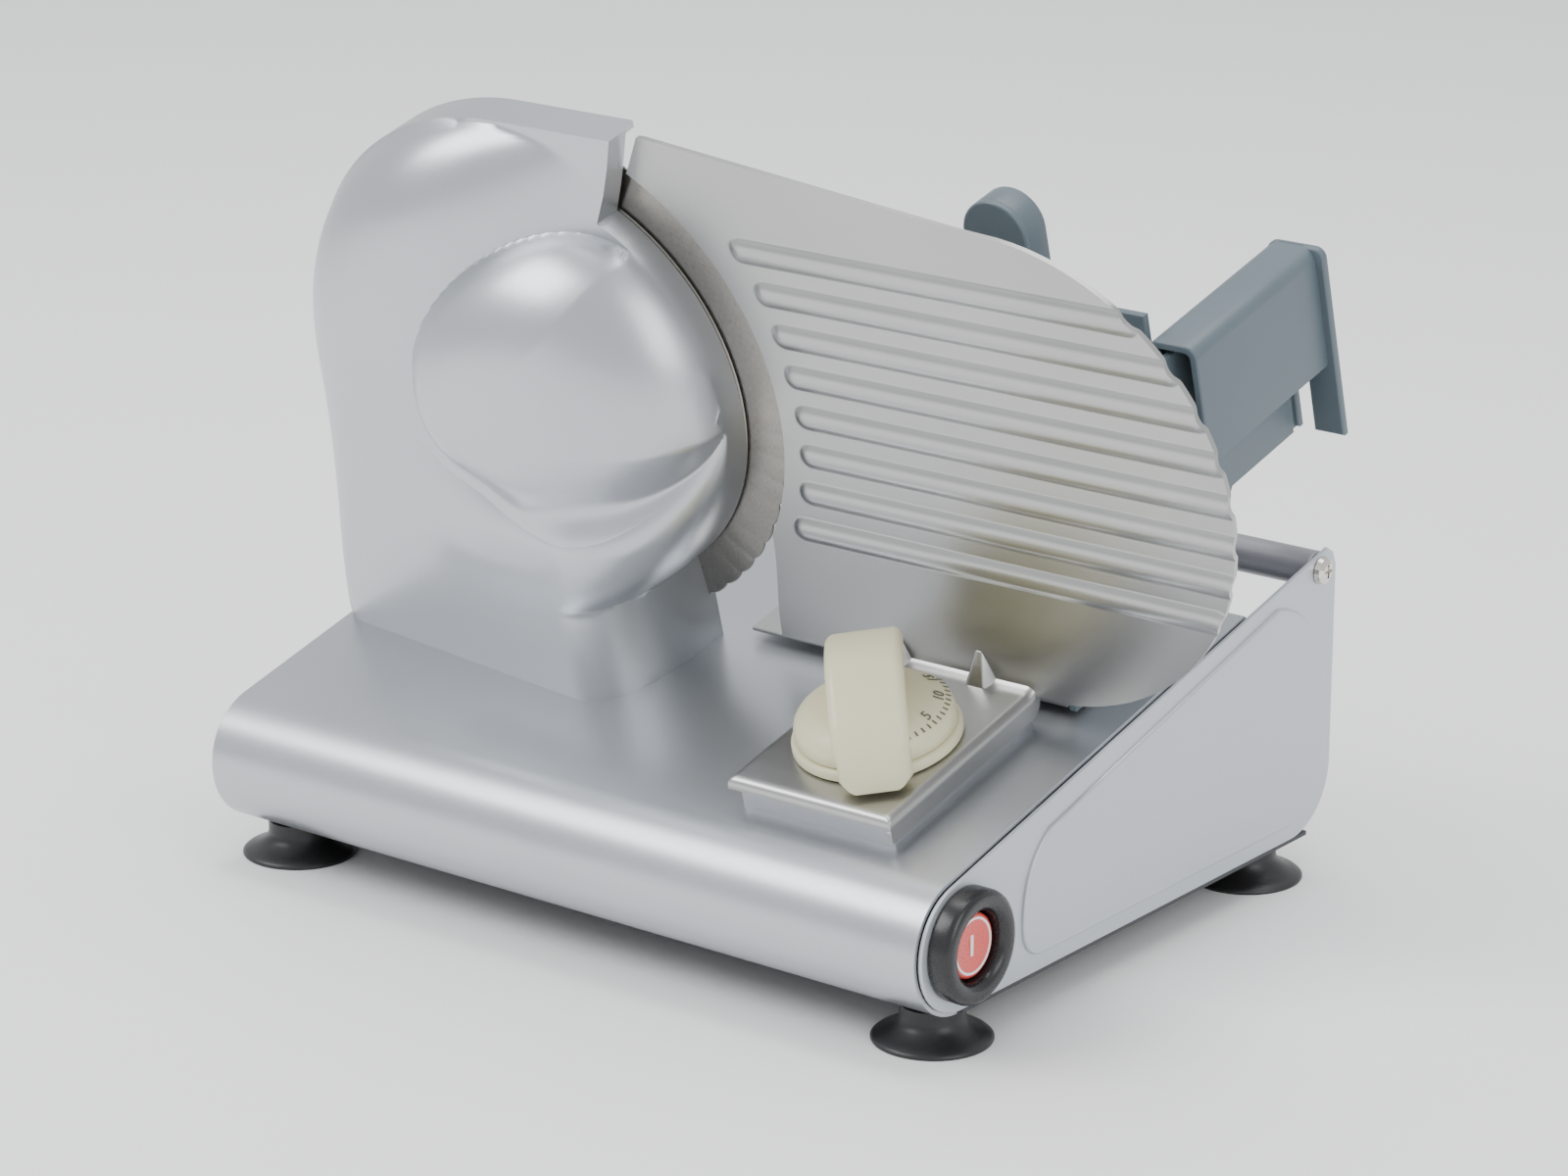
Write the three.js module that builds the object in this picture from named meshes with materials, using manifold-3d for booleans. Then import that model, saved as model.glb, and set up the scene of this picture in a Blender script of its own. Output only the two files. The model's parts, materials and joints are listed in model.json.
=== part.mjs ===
// Gravity-feed deli slicer with a 190 mm scalloped blade.
// Millimetres. +X is the slicer's right side, +Y its back, +Z up. The floor is z = 0.
import * as THREE from 'three';
import * as BufferGeometryUtils from 'three/addons/utils/BufferGeometryUtils.js';
import Module from 'manifold-3d';

const wasm = await Module();
wasm.setup();

// ---- Driving dimensions ----
const GAP = 0.3;                 // air between two pieces that seat on each other
const SHEET = 1.5;               // pressed sheet of the base
const BASE_WIDTH = 311;          // over the two side panels
const BASE_SLOPE = 15;           // degrees, fall of the base top towards the front
const BASE_FRONT_Y = -61.4;      // centre of the rounded front
const BASE_FRONT_R = 22.3;
const BASE_BOTTOM_Z = 15.1;      // underside of the side panels
const COVER_REAR_Y = 105;        // the base top stops here, ahead of the rod
const PANEL_REAR_Y = 160;
const PANEL_CORNER_R = 24;
const PANEL_EMBOSS = 1.2;
const PAN_THICKNESS = 1.8;
const FOOT_R = 20.4;
const FOOT_NECK_R = 11;
const FOOT_INSET_X = 15.5;
const FOOT_FRONT_Y = -56;
const FOOT_REAR_Y = 130.5;
const ROD_R = 6.5;
const ROD_DROP = 6;              // rod axis below the base plane
const ROD_BEHIND = 128.7;        // rod axis behind the blade plane
const BLADE_R = 95;
const BLADE_INSET_X = 96.7;      // blade axis from the left side panel's outer face
const BLADE_LIFT = 101.5;        // blade axis above the base plane
const BLADE_BACK = 25;           // blade plane behind the base plane's reference line
const SCALLOPS = 60;
const SCALLOP_DEPTH = 1.6;
const RIM_R = 100;               // housing rim round the blade
const HOUSING_WALL = 2.5;
const WALL_SLANT = 0.955;        // share of the wall that a slanted side shows
const NOTCH_X = 42;              // where the housing's edge leaves the blade's rim
const NOTCH_W = 70;
const HOUSING_EDGE_R = 80;       // housing's right edge, concentric with the blade
const HOUSING_REAR = 4;          // rim behind the blade plane
const HOUSING_FACE = 40;         // front face ahead of the blade plane
const HOUSING_LIP = 12;          // edge of the housing ahead of the blade plane
const DOME_HEIGHT = 55;
const HOUSING_END_X = 52;        // top right corner
const HOUSING_FOOT_X = 46;       // lower right corner
const GEAR_MODULE = 2;
const GEAR_TEETH = 60;
const PINION_TEETH = 12;
const GEAR_WIDTH = 8;
const BACKLASH = 0.5;
const PLATE_THICKNESS = 2;
const PLATE_CENTRE_X = 189;      // centre of the guide plate's round right end
const PLATE_END_R = 87;
const PLATE_TOP_LEFT = 98;
const PLATE_TOP_X = 56;
const PLATE_HORN_X = 49;         // tip of the plate above the blade
const PLATE_HORN_W = 84;
const PLATE_CENTRE_W = -3;
const BLADE_CLEARANCE = 2;       // guide plate to blade edge
const RIB_PITCH = 15;
const RIB_R = 4;
const RIB_HEIGHT = 1.6;
const RIBS = 8;
const TRAVEL_THICKNESS = 15;     // greatest slice
const KNOB_TURN = 300;           // degrees for the whole travel
const TRAY_X = 153;              // centre of the slider, from the blade axis
const TRAY_WIDTH = 62;
const TRAY_LENGTH = 80;
const TRAY_FRONT_V = -84;
const TRAY_HEIGHT = 11.6;
const TRAY_WALL = 2;
const KNOB_V = -47;
const KNOB_R = 28;
const KNOB_HEIGHT = 36;
const GRIP_WIDTH = 26;
const GRIP_REACH = 38;
const GRIP_ANGLE = 36;           // degrees from straight ahead, towards the right
const SPINDLE_R = 5.5;
const CAM_R = 12;
const PIN_R = 2.5;
const CARRIAGE_LEFT = 58;
const CARRIAGE_RIGHT = 192;
const CARRIAGE_FRONT = 6;        // behind the blade plane
const CARRIAGE_LIFT = 4;         // floor above the base plane
const RAIL_THICKNESS = 3;
const RAIL_TOP = 98;             // above the base plane
const RAIL_REAR = 150;
const PUSHER_V = 84;             // press face behind the blade plane
const PUSHER_REAR = 163;
const PUSHER_WALL = 3;
const PUSHER_SKIRT = 45;         // outer wall's height
const PUSHER_BOTTOM = 30;        // inner wall above the base plane
const PRESS_LEFT = 100;
const PRESS_TOP = 112;
const HOOD_X = 129;
const HOOD_R = 13;
const HOOD_TOP = 145;
const BEZEL_R = 19.4;
const BEZEL_PROUD = 8.4;
const BUTTON_R = 11.2;
const BUTTON_SINK = 4;
const BUTTON_TRAVEL = 3;
const BUTTON_Z = 38.5;

const rad = THREE.MathUtils.degToRad;
const slope = rad(BASE_SLOPE);
const half = BASE_WIDTH / 2;
const bladeX = -half + BLADE_INSET_X;
const planeZ = BASE_BOTTOM_Z + BASE_FRONT_R + BASE_FRONT_R / Math.cos(slope)
  - BASE_FRONT_Y * Math.tan(slope);                 // base plane's height at y = 0

// ---- Materials ----
function finish(colour, roughness, metalness) {
  return new THREE.MeshStandardMaterial({ color: colour, roughness, metalness });
}
const silver = () => finish(0xb4b9be, 0.35, 0.6);
const aluminium = () => finish(0xa9aaab, 0.38, 0.9);
const steel = () => finish(0x9c968c, 0.3, 1);
const nickel = () => finish(0xd8d2c8, 0.15, 1);
const greyPaint = () => finish(0x9a9ba3, 0.5, 0.2);
const panGrey = () => finish(0x3d4146, 0.6, 0.1);
const bluePlastic = () => finish(0x6f7f88, 0.45, 0);
const cream = () => finish(0xded8b4, 0.45, 0);
const black = () => finish(0x17181a, 0.4, 0);
const rubber = () => finish(0x1b1b1c, 0.75, 0);
const red = () => finish(0xde4d49, 0.35, 0);
const nylon = () => finish(0xe9e6da, 0.55, 0);
const brass = () => finish(0xc2a15a, 0.3, 1);

// ---- Solids ----
function solid(geometry) {
  const bare = geometry.index ? geometry.toNonIndexed() : geometry.clone();
  bare.deleteAttribute('normal');
  bare.deleteAttribute('uv');
  const merged = BufferGeometryUtils.mergeVertices(bare, 1e-4);
  const place = merged.attributes.position;
  const index = merged.index.array;
  const kept = [];
  const a = new THREE.Vector3();
  const b = new THREE.Vector3();
  const c = new THREE.Vector3();
  let volume = 0;
  for (let i = 0; i < index.length; i += 3) {
    const corners = [index[i], index[i + 1], index[i + 2]];
    if (new Set(corners).size < 3) continue;
    kept.push(...corners);
    a.fromBufferAttribute(place, corners[0]);
    b.fromBufferAttribute(place, corners[1]);
    c.fromBufferAttribute(place, corners[2]);
    volume += a.dot(b.cross(c));
  }
  if (volume < 0) kept.reverse();
  return new wasm.Manifold(new wasm.Mesh({
    numProp: 3,
    vertProperties: new Float32Array(place.array),
    triVerts: new Uint32Array(kept),
  }));
}

function geometryOf(body) {
  const mesh = body.getMesh();
  const geometry = new THREE.BufferGeometry();
  geometry.setAttribute('position', new THREE.BufferAttribute(mesh.vertProperties, 3));
  geometry.setIndex(new THREE.BufferAttribute(mesh.triVerts, 1));
  return geometry;
}

function join(first, ...others) {
  return geometryOf(others.reduce((body, other) => body.add(solid(other)), solid(first)));
}

function cut(first, ...others) {
  return geometryOf(others.reduce((body, other) => body.subtract(solid(other)), solid(first)));
}

function add(group, name, geometry, material) {
  const clean = geometryOf(solid(geometry));
  clean.computeVertexNormals();
  const mesh = new THREE.Mesh(clean, material);
  mesh.name = name;
  group.add(mesh);
  return mesh;
}

function box(x0, x1, y0, y1, z0, z1) {
  const geometry = new THREE.BoxGeometry(x1 - x0, y1 - y0, z1 - z0);
  return geometry.translate((x0 + x1) / 2, (y0 + y1) / 2, (z0 + z1) / 2);
}

// Straight-sided copy of a shape, without the doubled points where its curves meet.
function clean(path, curveSegments) {
  const points = path.getPoints(curveSegments);
  const near = (a, b) => a.distanceTo(b) < 1e-3;
  const kept = points.filter((point, i) => i === 0 || !near(point, points[i - 1]));
  while (near(kept[0], kept[kept.length - 1])) kept.pop();
  return kept;
}

function extrude(shape, depth, curveSegments = 8) {
  const straight = new THREE.Shape(clean(shape, curveSegments));
  straight.holes = shape.holes.map((hole) => new THREE.Path(clean(hole, curveSegments)));
  return new THREE.ExtrudeGeometry(straight, { depth, bevelEnabled: false });
}

// A shape drawn in (y, z) and pushed along +X from x0.
function alongX(shape, x0, depth, curveSegments) {
  const turn = new THREE.Matrix4().makeBasis(
    new THREE.Vector3(0, 1, 0), new THREE.Vector3(0, 0, 1), new THREE.Vector3(1, 0, 0));
  return extrude(shape, depth, curveSegments).applyMatrix4(turn).translate(x0, 0, 0);
}

// A shape drawn in (x, z) and pushed forward, along -Y, from y1.
function forward(shape, y1, depth, curveSegments) {
  const turn = new THREE.Matrix4().makeBasis(
    new THREE.Vector3(1, 0, 0), new THREE.Vector3(0, 0, 1), new THREE.Vector3(0, -1, 0));
  return extrude(shape, depth, curveSegments).applyMatrix4(turn).translate(0, y1, 0);
}

function lathe(points, segments = 28) {
  return new THREE.LatheGeometry(points.map(([r, y]) => new THREE.Vector2(r, y)), segments);
}

// Bodies of revolution about X, Y or Z: points are [radius, place along the axis].
const turnX = (points, segments) => lathe(points, segments).rotateZ(-Math.PI / 2);
const turnY = (points, segments) => lathe(points, segments);
const turnZ = (points, segments) => lathe(points, segments).rotateX(Math.PI / 2);

const disc = (r, a, b) => [[0, a], [r, a], [r, b], [0, b]];
const ring = (r0, r1, a, b) => [[r0, a], [r1, a], [r1, b], [r0, b], [r0, a]];

function polygon(points) {
  return new THREE.Shape(points.map(([x, y]) => new THREE.Vector2(x, y)));
}

function smooth(low, high, value) {
  return THREE.MathUtils.smoothstep(value, low, high);
}

const slicer = new THREE.Group();
const base = new THREE.Group();
const incline = new THREE.Group();           // origin on the blade axis, in the blade plane
slicer.add(base, incline);
incline.position.set(
  bladeX,
  BLADE_BACK * Math.cos(slope) - BLADE_LIFT * Math.sin(slope),
  planeZ + BLADE_BACK * Math.sin(slope) + BLADE_LIFT * Math.cos(slope));
incline.rotation.x = slope;
const floorW = -BLADE_LIFT;                   // base plane, seen from the blade axis
const rodY = (BLADE_BACK + ROD_BEHIND) * Math.cos(slope) + ROD_DROP * Math.sin(slope);
const rodZ = planeZ + (BLADE_BACK + ROD_BEHIND) * Math.sin(slope) - ROD_DROP * Math.cos(slope);

// ---- Base ----
const frontZ = BASE_BOTTOM_Z + BASE_FRONT_R;
const topAt = (y) => planeZ + y * Math.tan(slope);

// Outline of the cover in (y, z), set in from the outside by a sheet thickness.
function coverOutline(inset) {
  const r = BASE_FRONT_R - inset;
  const shape = new THREE.Shape();
  shape.moveTo(COVER_REAR_Y - inset, BASE_BOTTOM_Z + inset + GAP);
  shape.lineTo(COVER_REAR_Y - inset, topAt(COVER_REAR_Y - inset) - inset / Math.cos(slope));
  shape.lineTo(BASE_FRONT_Y - r * Math.sin(slope), frontZ + r * Math.cos(slope));
  shape.absarc(BASE_FRONT_Y, frontZ, r, Math.PI / 2 + slope, 1.5 * Math.PI, false);
  return shape;
}

function baseCover() {
  const x0 = -half + SHEET + GAP;
  const length = BASE_WIDTH - 2 * (SHEET + GAP);
  const outside = alongX(coverOutline(0), x0, length, 14);
  const inside = alongX(coverOutline(SHEET), x0 - 1, length + 2, 14);
  const mouth = box(-half, half, BASE_FRONT_Y + GAP, COVER_REAR_Y - SHEET - 4, 0, BASE_BOTTOM_Z + SHEET + 2);
  return cut(outside, inside, mouth);
}
add(base, 'base_cover', baseCover(), silver());

function panelOutline(inset, rear) {
  const r = BASE_FRONT_R - inset;
  const shape = new THREE.Shape();
  const back = rear - inset;
  const low = BASE_BOTTOM_Z + inset;
  shape.moveTo(back - PANEL_CORNER_R, low);
  shape.absarc(back - PANEL_CORNER_R, low + PANEL_CORNER_R, PANEL_CORNER_R, -Math.PI / 2, 0, false);
  shape.lineTo(back, topAt(back) - 9 - inset);
  shape.lineTo(back - 6, topAt(back - 6) - inset / Math.cos(slope));
  shape.lineTo(BASE_FRONT_Y - r * Math.sin(slope), frontZ + r * Math.cos(slope));
  shape.absarc(BASE_FRONT_Y, frontZ, r, Math.PI / 2 + slope, 1.5 * Math.PI, false);
  return shape;
}

// Raised field of a side panel: long, low at the front and rising with the slope.
function embossOutline() {
  const low = BASE_BOTTOM_Z + 6;
  const front = BASE_FRONT_Y + 33;
  const rear = PANEL_REAR_Y - 5;
  const shape = new THREE.Shape();
  shape.moveTo(front + 12, low);
  shape.lineTo(rear - 20, low);
  shape.quadraticCurveTo(rear, low + 4, rear, low + 26);
  shape.quadraticCurveTo(rear, topAt(rear) - 20, rear - 32, topAt(rear - 32) - 6);
  shape.lineTo(front + 15, topAt(front + 15) - 9);
  shape.quadraticCurveTo(front, topAt(front) - 14, front, low + 14);
  shape.quadraticCurveTo(front, low, front + 12, low);
  return shape;
}

function sidePanel(side) {
  const outer = side * half;
  const x0 = side > 0 ? outer - SHEET : outer;
  const plate = alongX(panelOutline(0, PANEL_REAR_Y), x0, SHEET, 10);
  const field = alongX(embossOutline(), side > 0 ? outer - SHEET / 2 : outer - PANEL_EMBOSS,
    SHEET / 2 + PANEL_EMBOSS, 6);
  const rodHole = turnX(disc(2.6, -3 * SHEET, 3 * SHEET), 16).translate(outer, rodY, rodZ);
  const panel = join(plate, field);
  if (side < 0) return cut(panel, rodHole);
  const switchHole = turnX(disc(BUTTON_R + 3, -3 * SHEET, 3 * SHEET), 28);
  return cut(panel, rodHole, switchHole.translate(outer, BASE_FRONT_Y, BUTTON_Z));
}
add(base, 'side_panel_left', sidePanel(-1), silver());
add(base, 'side_panel_right', sidePanel(1), silver());

const panTop = BASE_BOTTOM_Z - GAP;
const panBottom = panTop - PAN_THICKNESS;
function basePan() {
  const panel = box(-half + 1, half - 1, BASE_FRONT_Y + 2, PANEL_REAR_Y - PANEL_CORNER_R / 2, panBottom, panTop);
  const lip = box(-half + SHEET + GAP + 1, half - SHEET - GAP - 1, PANEL_REAR_Y - PANEL_CORNER_R / 2 - 2,
    PANEL_REAR_Y - PANEL_CORNER_R / 2, panBottom, panTop + 12);
  return join(panel, lip);
}
add(base, 'base_pan', basePan(), panGrey());

const rodEnd = half - SHEET - GAP;
add(base, 'carriage_rod', turnX(disc(ROD_R, -rodEnd, rodEnd), 24).translate(0, rodY, rodZ), greyPaint());

const SCREW_HEAD_R = 5;
const SCREW_HEAD = 3;
const CROSS = 1;
function panHeadScrew(shank) {
  const head = turnX([[0, -shank], [2.2, -shank], [2.2, 0], [SCREW_HEAD_R, 0], [SCREW_HEAD_R * 0.9, SCREW_HEAD * 0.55],
    [SCREW_HEAD_R * 0.55, SCREW_HEAD * 0.9], [0, SCREW_HEAD]], 20);
  const reach = SCREW_HEAD_R * 0.5;
  const slotA = box(SCREW_HEAD - 1.4, SCREW_HEAD + 1, -reach, reach, -CROSS / 2, CROSS / 2);
  const slotB = box(SCREW_HEAD - 1.4, SCREW_HEAD + 1, -CROSS / 2, CROSS / 2, -reach, reach);
  return cut(head, slotA, slotB);
}
const screwLift = GAP;
add(base, 'rod_screw_right', panHeadScrew(SHEET).translate(half + screwLift, rodY, rodZ), nickel());
add(base, 'rod_screw_left', panHeadScrew(SHEET).rotateZ(Math.PI).translate(-half - screwLift, rodY, rodZ), nickel());

// Suction-cup foot: a flared cup on a waisted neck, standing on a flat rim.
const footTop = panBottom - GAP;
const CUP_RIM = 3;
const CUP_HOLLOW = 2.4;
const footProfile = [
  [0, CUP_HOLLOW], [FOOT_R - CUP_RIM - 2, CUP_HOLLOW * 0.5], [FOOT_R - CUP_RIM, 0], [FOOT_R, 0],
  [FOOT_R, 0.9], [FOOT_R * 0.86, 2.6], [FOOT_NECK_R + 2, 5], [FOOT_NECK_R, 7.5],
  [FOOT_NECK_R, footTop], [0, footTop]];
const FOOT_SCREW_R = 2.5;
const feet = [
  ['front_left', -half + FOOT_INSET_X, FOOT_FRONT_Y], ['front_right', half - FOOT_INSET_X, FOOT_FRONT_Y],
  ['rear_left', -half + FOOT_INSET_X, FOOT_REAR_Y], ['rear_right', half - FOOT_INSET_X, FOOT_REAR_Y]];
for (const [where, x, y] of feet) {
  add(base, `foot_${where}`, turnZ(footProfile, 20).translate(x, y, 0), rubber());
  const screw = [[0, panTop + GAP], [FOOT_SCREW_R * 1.7, panTop + GAP], [FOOT_SCREW_R * 1.7, panTop + 2.6],
    [0, panTop + 2.6]];
  add(base, `foot_screw_${where}`, turnZ(screw, 12).translate(x, y, 0), nickel());
}

// ---- Switch on the right side panel ----
const bezelFace = half + BEZEL_PROUD;
const buttonFace = bezelFace - BUTTON_SINK;
const bore = BUTTON_R + 0.8;
const bezelProfile = [
  [bore, half - 8], [bore + 1.8, half - 8], [bore + 1.8, half + GAP],
  [BEZEL_R, half + GAP], [BEZEL_R, bezelFace - 2], [BEZEL_R - 1.2, bezelFace],
  [bore + 2, bezelFace], [bore, bezelFace - 3], [bore, half - 8]];
add(base, 'switch_bezel', turnX(bezelProfile, 28).translate(0, BASE_FRONT_Y, BUTTON_Z), black());
const buttonLength = 13;
add(base, 'switch_button', turnX(
  [[0, buttonFace - buttonLength], [BUTTON_R, buttonFace - buttonLength], [BUTTON_R, buttonFace - 1],
    [BUTTON_R - 1, buttonFace], [0, buttonFace]], 28).translate(0, BASE_FRONT_Y, BUTTON_Z), red());
const springBack = buttonFace - buttonLength - GAP;
const SPRING_LENGTH = 9;
add(base, 'button_spring', turnX(ring(4, 5, springBack - SPRING_LENGTH, springBack), 16)
  .translate(0, BASE_FRONT_Y, BUTTON_Z), steel());
const switchBlock = springBack - SPRING_LENGTH - GAP;
add(base, 'power_switch', box(switchBlock - 22, switchBlock, BASE_FRONT_Y - 11, BASE_FRONT_Y + 11,
  BUTTON_Z - 10, BUTTON_Z + 10), black());
add(base, 'terminal_block', box(0, 40, COVER_REAR_Y - 30, COVER_REAR_Y - 16, panTop + GAP, panTop + 16), nylon());
const GLAND_X = -half + 45;
add(base, 'cord_gland', turnY([[0, COVER_REAR_Y + GAP], [9, COVER_REAR_Y + GAP], [9, COVER_REAR_Y + 4],
  [6, COVER_REAR_Y + 6], [5, COVER_REAR_Y + 18], [3.5, COVER_REAR_Y + 18], [3.5, COVER_REAR_Y + 8],
  [0, COVER_REAR_Y + 8]], 20).translate(GLAND_X, 0, 42), black());

// ---- Motor housing: a pressed shell standing left of and in front of the blade ----
// Distance from the blade axis to the housing's outline, in the direction given.
function housingReach(angle) {
  const c = Math.cos(angle);
  const s = Math.sin(angle);
  const foot = -BLADE_LIFT + GAP;
  const cornerAngle = Math.atan2(RIM_R, HOUSING_END_X);
  const endAngle = Math.atan2(NOTCH_W, NOTCH_X);
  const footAngle = Math.atan2(foot, HOUSING_FOOT_X);
  const edgeAngle = -Math.acos(HOUSING_FOOT_X / HOUSING_EDGE_R);
  if (angle >= edgeAngle && angle <= endAngle) return HOUSING_EDGE_R;
  if (angle > endAngle && angle < cornerAngle) {
    const t = (angle - endAngle) / (cornerAngle - endAngle);
    return THREE.MathUtils.lerp(HOUSING_EDGE_R, Math.hypot(RIM_R, HOUSING_END_X), t);
  }
  if (angle < edgeAngle && angle > footAngle) return HOUSING_FOOT_X / c;
  if (angle >= cornerAngle && angle <= Math.PI / 2) return RIM_R / s;
  if (angle > Math.PI / 2) return RIM_R;
  const side = c < 0 ? -RIM_R / c : Infinity;
  return Math.min(side, foot / s);
}

// Where the dome's skirt lies in each direction: an egg, wide towards the upper right.
const EGG = { mean: 52.4, cos: [20.2, 7.8, 0.6], sin: [15.9, 3.3, 0.4] };
function domeReach(angle) {
  const reach = EGG.cos.reduce((sum, c, i) => sum + c * Math.cos((i + 1) * angle)
    + EGG.sin[i] * Math.sin((i + 1) * angle), EGG.mean);
  return Math.min(reach, HOUSING_EDGE_R);
}

// Quarter-round: 0 at the edge, 1 from the radius inwards.
function quarter(distance, radius) {
  const t = 1 - THREE.MathUtils.clamp(distance / radius, 0, 1);
  return Math.sqrt(1 - t * t);
}

// How far the housing's face stands ahead of the blade plane at (x, w).
function housingFace(x, w) {
  const r = Math.hypot(x, w);
  const edge = w > 0 ? (x < 0 ? RIM_R - r : RIM_R - w) : RIM_R + x;
  const shoulder = THREE.MathUtils.lerp(10, 42, smooth(-100, 20, w));
  const low = HOUSING_FACE + 0.11 * (x + 85);
  const band = HOUSING_LIP + 1;
  const high = band + (HOUSING_FACE - band) * (1 - smooth(-40, HOUSING_END_X, x));
  const level = THREE.MathUtils.lerp(low, high, smooth(-40, 10, w));
  let wall = 5 + (level - 5) * quarter(edge, shoulder);
  if (w < 0) {
    const rightSide = Math.max(HOUSING_FOOT_X, Math.sqrt(Math.max(HOUSING_EDGE_R ** 2 - w ** 2, 0)));
    const inward = rightSide - x;
    wall = HOUSING_LIP + (wall - HOUSING_LIP) * quarter(inward, THREE.MathUtils.lerp(24, 70, smooth(-70, 0, w)));
  }
  const reach = domeReach(Math.atan2(w, x));
  const dome = HOUSING_LIP + (DOME_HEIGHT - HOUSING_LIP) * quarter(1 - r / reach, 0.775);
  return Math.max(wall, dome);
}

const SPOKES = 60;
const RINGS = 9;
function housingShell() {
  const corners = [Math.atan2(NOTCH_W, NOTCH_X), Math.atan2(RIM_R, HOUSING_END_X),
    Math.atan2(-BLADE_LIFT + GAP, HOUSING_FOOT_X), -Math.acos(HOUSING_FOOT_X / HOUSING_EDGE_R),
    Math.atan2(-BLADE_LIFT + GAP, -RIM_R)];
  const angles = [];
  for (let i = 0; i < SPOKES; i += 1) angles.push(-Math.PI + (i * 2 * Math.PI) / SPOKES);
  for (const corner of corners) {
    const near = angles.reduce((best, a, i) => (Math.abs(a - corner) < Math.abs(angles[best] - corner) ? i : best), 0);
    angles[near] = corner;
  }
  const bare = angles.map((a) => (a > corners[2] - 0.001 && a < corners[1] + 0.001 ? -3 : HOUSING_REAR));
  const points = [];
  const rows = [];
  const layer = (scale, y) => {
    rows.push(points.length);
    angles.forEach((a, i) => {
      const r = housingReach(a) * scale(i, a);
      const x = r * Math.cos(a);
      const w = r * Math.sin(a);
      points.push(new THREE.Vector3(x, y(i, x, w), w));
    });
  };
  const share = (i, a) => 1 - HOUSING_WALL / housingReach(a) / WALL_SLANT;
  points.push(new THREE.Vector3(0, -housingFace(0, 0), 0));
  for (let k = 1; k <= RINGS; k += 1) {
    const t = Math.sin((k / RINGS) * (Math.PI / 2));
    layer(() => t, (i, x, w) => -housingFace(x, w));
  }
  layer(() => 1, (i) => bare[i]);
  layer(share, (i) => bare[i]);
  for (let k = RINGS; k >= 1; k -= 1) {
    const t = Math.sin((k / RINGS) * (Math.PI / 2));
    layer((i, a) => t * share(i, a), (i, x, w) => Math.min(-housingFace(x, w) + HOUSING_WALL, bare[i] - 0.5));
  }
  points.push(new THREE.Vector3(0, -housingFace(0, 0) + HOUSING_WALL, 0));
  const index = [];
  const n = angles.length;
  for (let i = 0; i < n; i += 1) {
    const j = (i + 1) % n;
    index.push(0, rows[0] + i, rows[0] + j);
    for (let k = 0; k + 1 < rows.length; k += 1) {
      index.push(rows[k] + i, rows[k + 1] + i, rows[k + 1] + j);
      index.push(rows[k] + i, rows[k + 1] + j, rows[k] + j);
    }
    const last = rows[rows.length - 1];
    index.push(last + i, points.length - 1, last + j);
  }
  const geometry = new THREE.BufferGeometry().setFromPoints(points);
  geometry.setIndex(index);
  return geometry;
}
add(incline, 'motor_housing', housingShell(), silver());

// Flat guard behind the housing, below the blade.
const guardHole = BLADE_R + BLADE_CLEARANCE;
function rearGuard() {
  const left = -RIM_R + HOUSING_WALL + 1.2;
  const right = HOUSING_FOOT_X - 1;
  const foot = floorW + HOUSING_WALL + 1.5;
  const shape = new THREE.Shape();
  const start = -Math.acos(right / guardHole);
  const end = -Math.PI + Math.acos(-left / guardHole);
  shape.moveTo(left, foot);
  shape.lineTo(right, foot);
  shape.lineTo(right, guardHole * Math.sin(start));
  shape.absarc(0, 0, guardHole, start, end, true);
  return forward(shape, HOUSING_REAR, SHEET, 16);
}
add(incline, 'rear_guard', rearGuard(), aluminium());

// ---- Blade and drive ----
const SEGMENTS = SCALLOPS * 2;
function blade() {
  const points = [[0, 1], [BLADE_R - 14, 1], [BLADE_R, 1], [BLADE_R, 0.6], [BLADE_R - 14, -1],
    [BLADE_R - 16, -2.2], [BLADE_R - 22, -2.2], [BLADE_R - 24, -1], [0, -1]];
  const geometry = turnY(points, SEGMENTS);
  const place = geometry.attributes.position;
  for (let i = 0; i < place.count; i += 1) {
    const x = place.getX(i);
    const z = place.getZ(i);
    if (Math.hypot(x, z) < BLADE_R - 1) continue;
    const column = Math.round((Math.atan2(z, x) / (2 * Math.PI)) * SEGMENTS);
    const scale = column % 2 === 0 ? 1 - SCALLOP_DEPTH / BLADE_R : 1;
    place.setXYZ(i, x * scale, place.getY(i), z * scale);
  }
  return cut(geometry, turnY(disc(SPINDLE_R + 0.5, -3, 3), 20));
}
add(incline, 'blade', blade(), steel());
add(incline, 'blade_spindle', turnY(disc(SPINDLE_R, -38, 0.8), 20), steel());
add(incline, 'blade_screw', turnY([[0, 1.3], [9, 1.3], [8, 3], [0, 3.4]], 20), nickel());

function gearShape(teeth, holeR, phase) {
  const pitchR = (teeth * GEAR_MODULE) / 2;
  const pitch = (2 * Math.PI) / teeth;
  const flank = Math.tan(rad(20));
  const across = (Math.PI * GEAR_MODULE) / 2 - BACKLASH;
  const tip = pitchR + GEAR_MODULE * 0.9;
  const root = pitchR - GEAR_MODULE * 1.25;
  const tipHalf = (across / 2 - flank * GEAR_MODULE * 0.9) / tip;
  const rootHalf = (across / 2 + flank * GEAR_MODULE * 1.25) / root;
  const outline = [];
  for (let i = 0; i < teeth; i += 1) {
    const middle = phase + i * pitch;
    for (const [r, turn] of [[root, -rootHalf], [tip, -tipHalf], [tip, tipHalf], [root, rootHalf]]) {
      outline.push([r * Math.cos(middle + turn), r * Math.sin(middle + turn)]);
    }
  }
  const shape = polygon(outline);
  const hole = new THREE.Path();
  hole.absarc(0, 0, holeR, 0, 2 * Math.PI, true);
  shape.holes.push(hole);
  return shape;
}
const gearFront = -5;
const pinionAngle = rad(-100);
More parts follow.
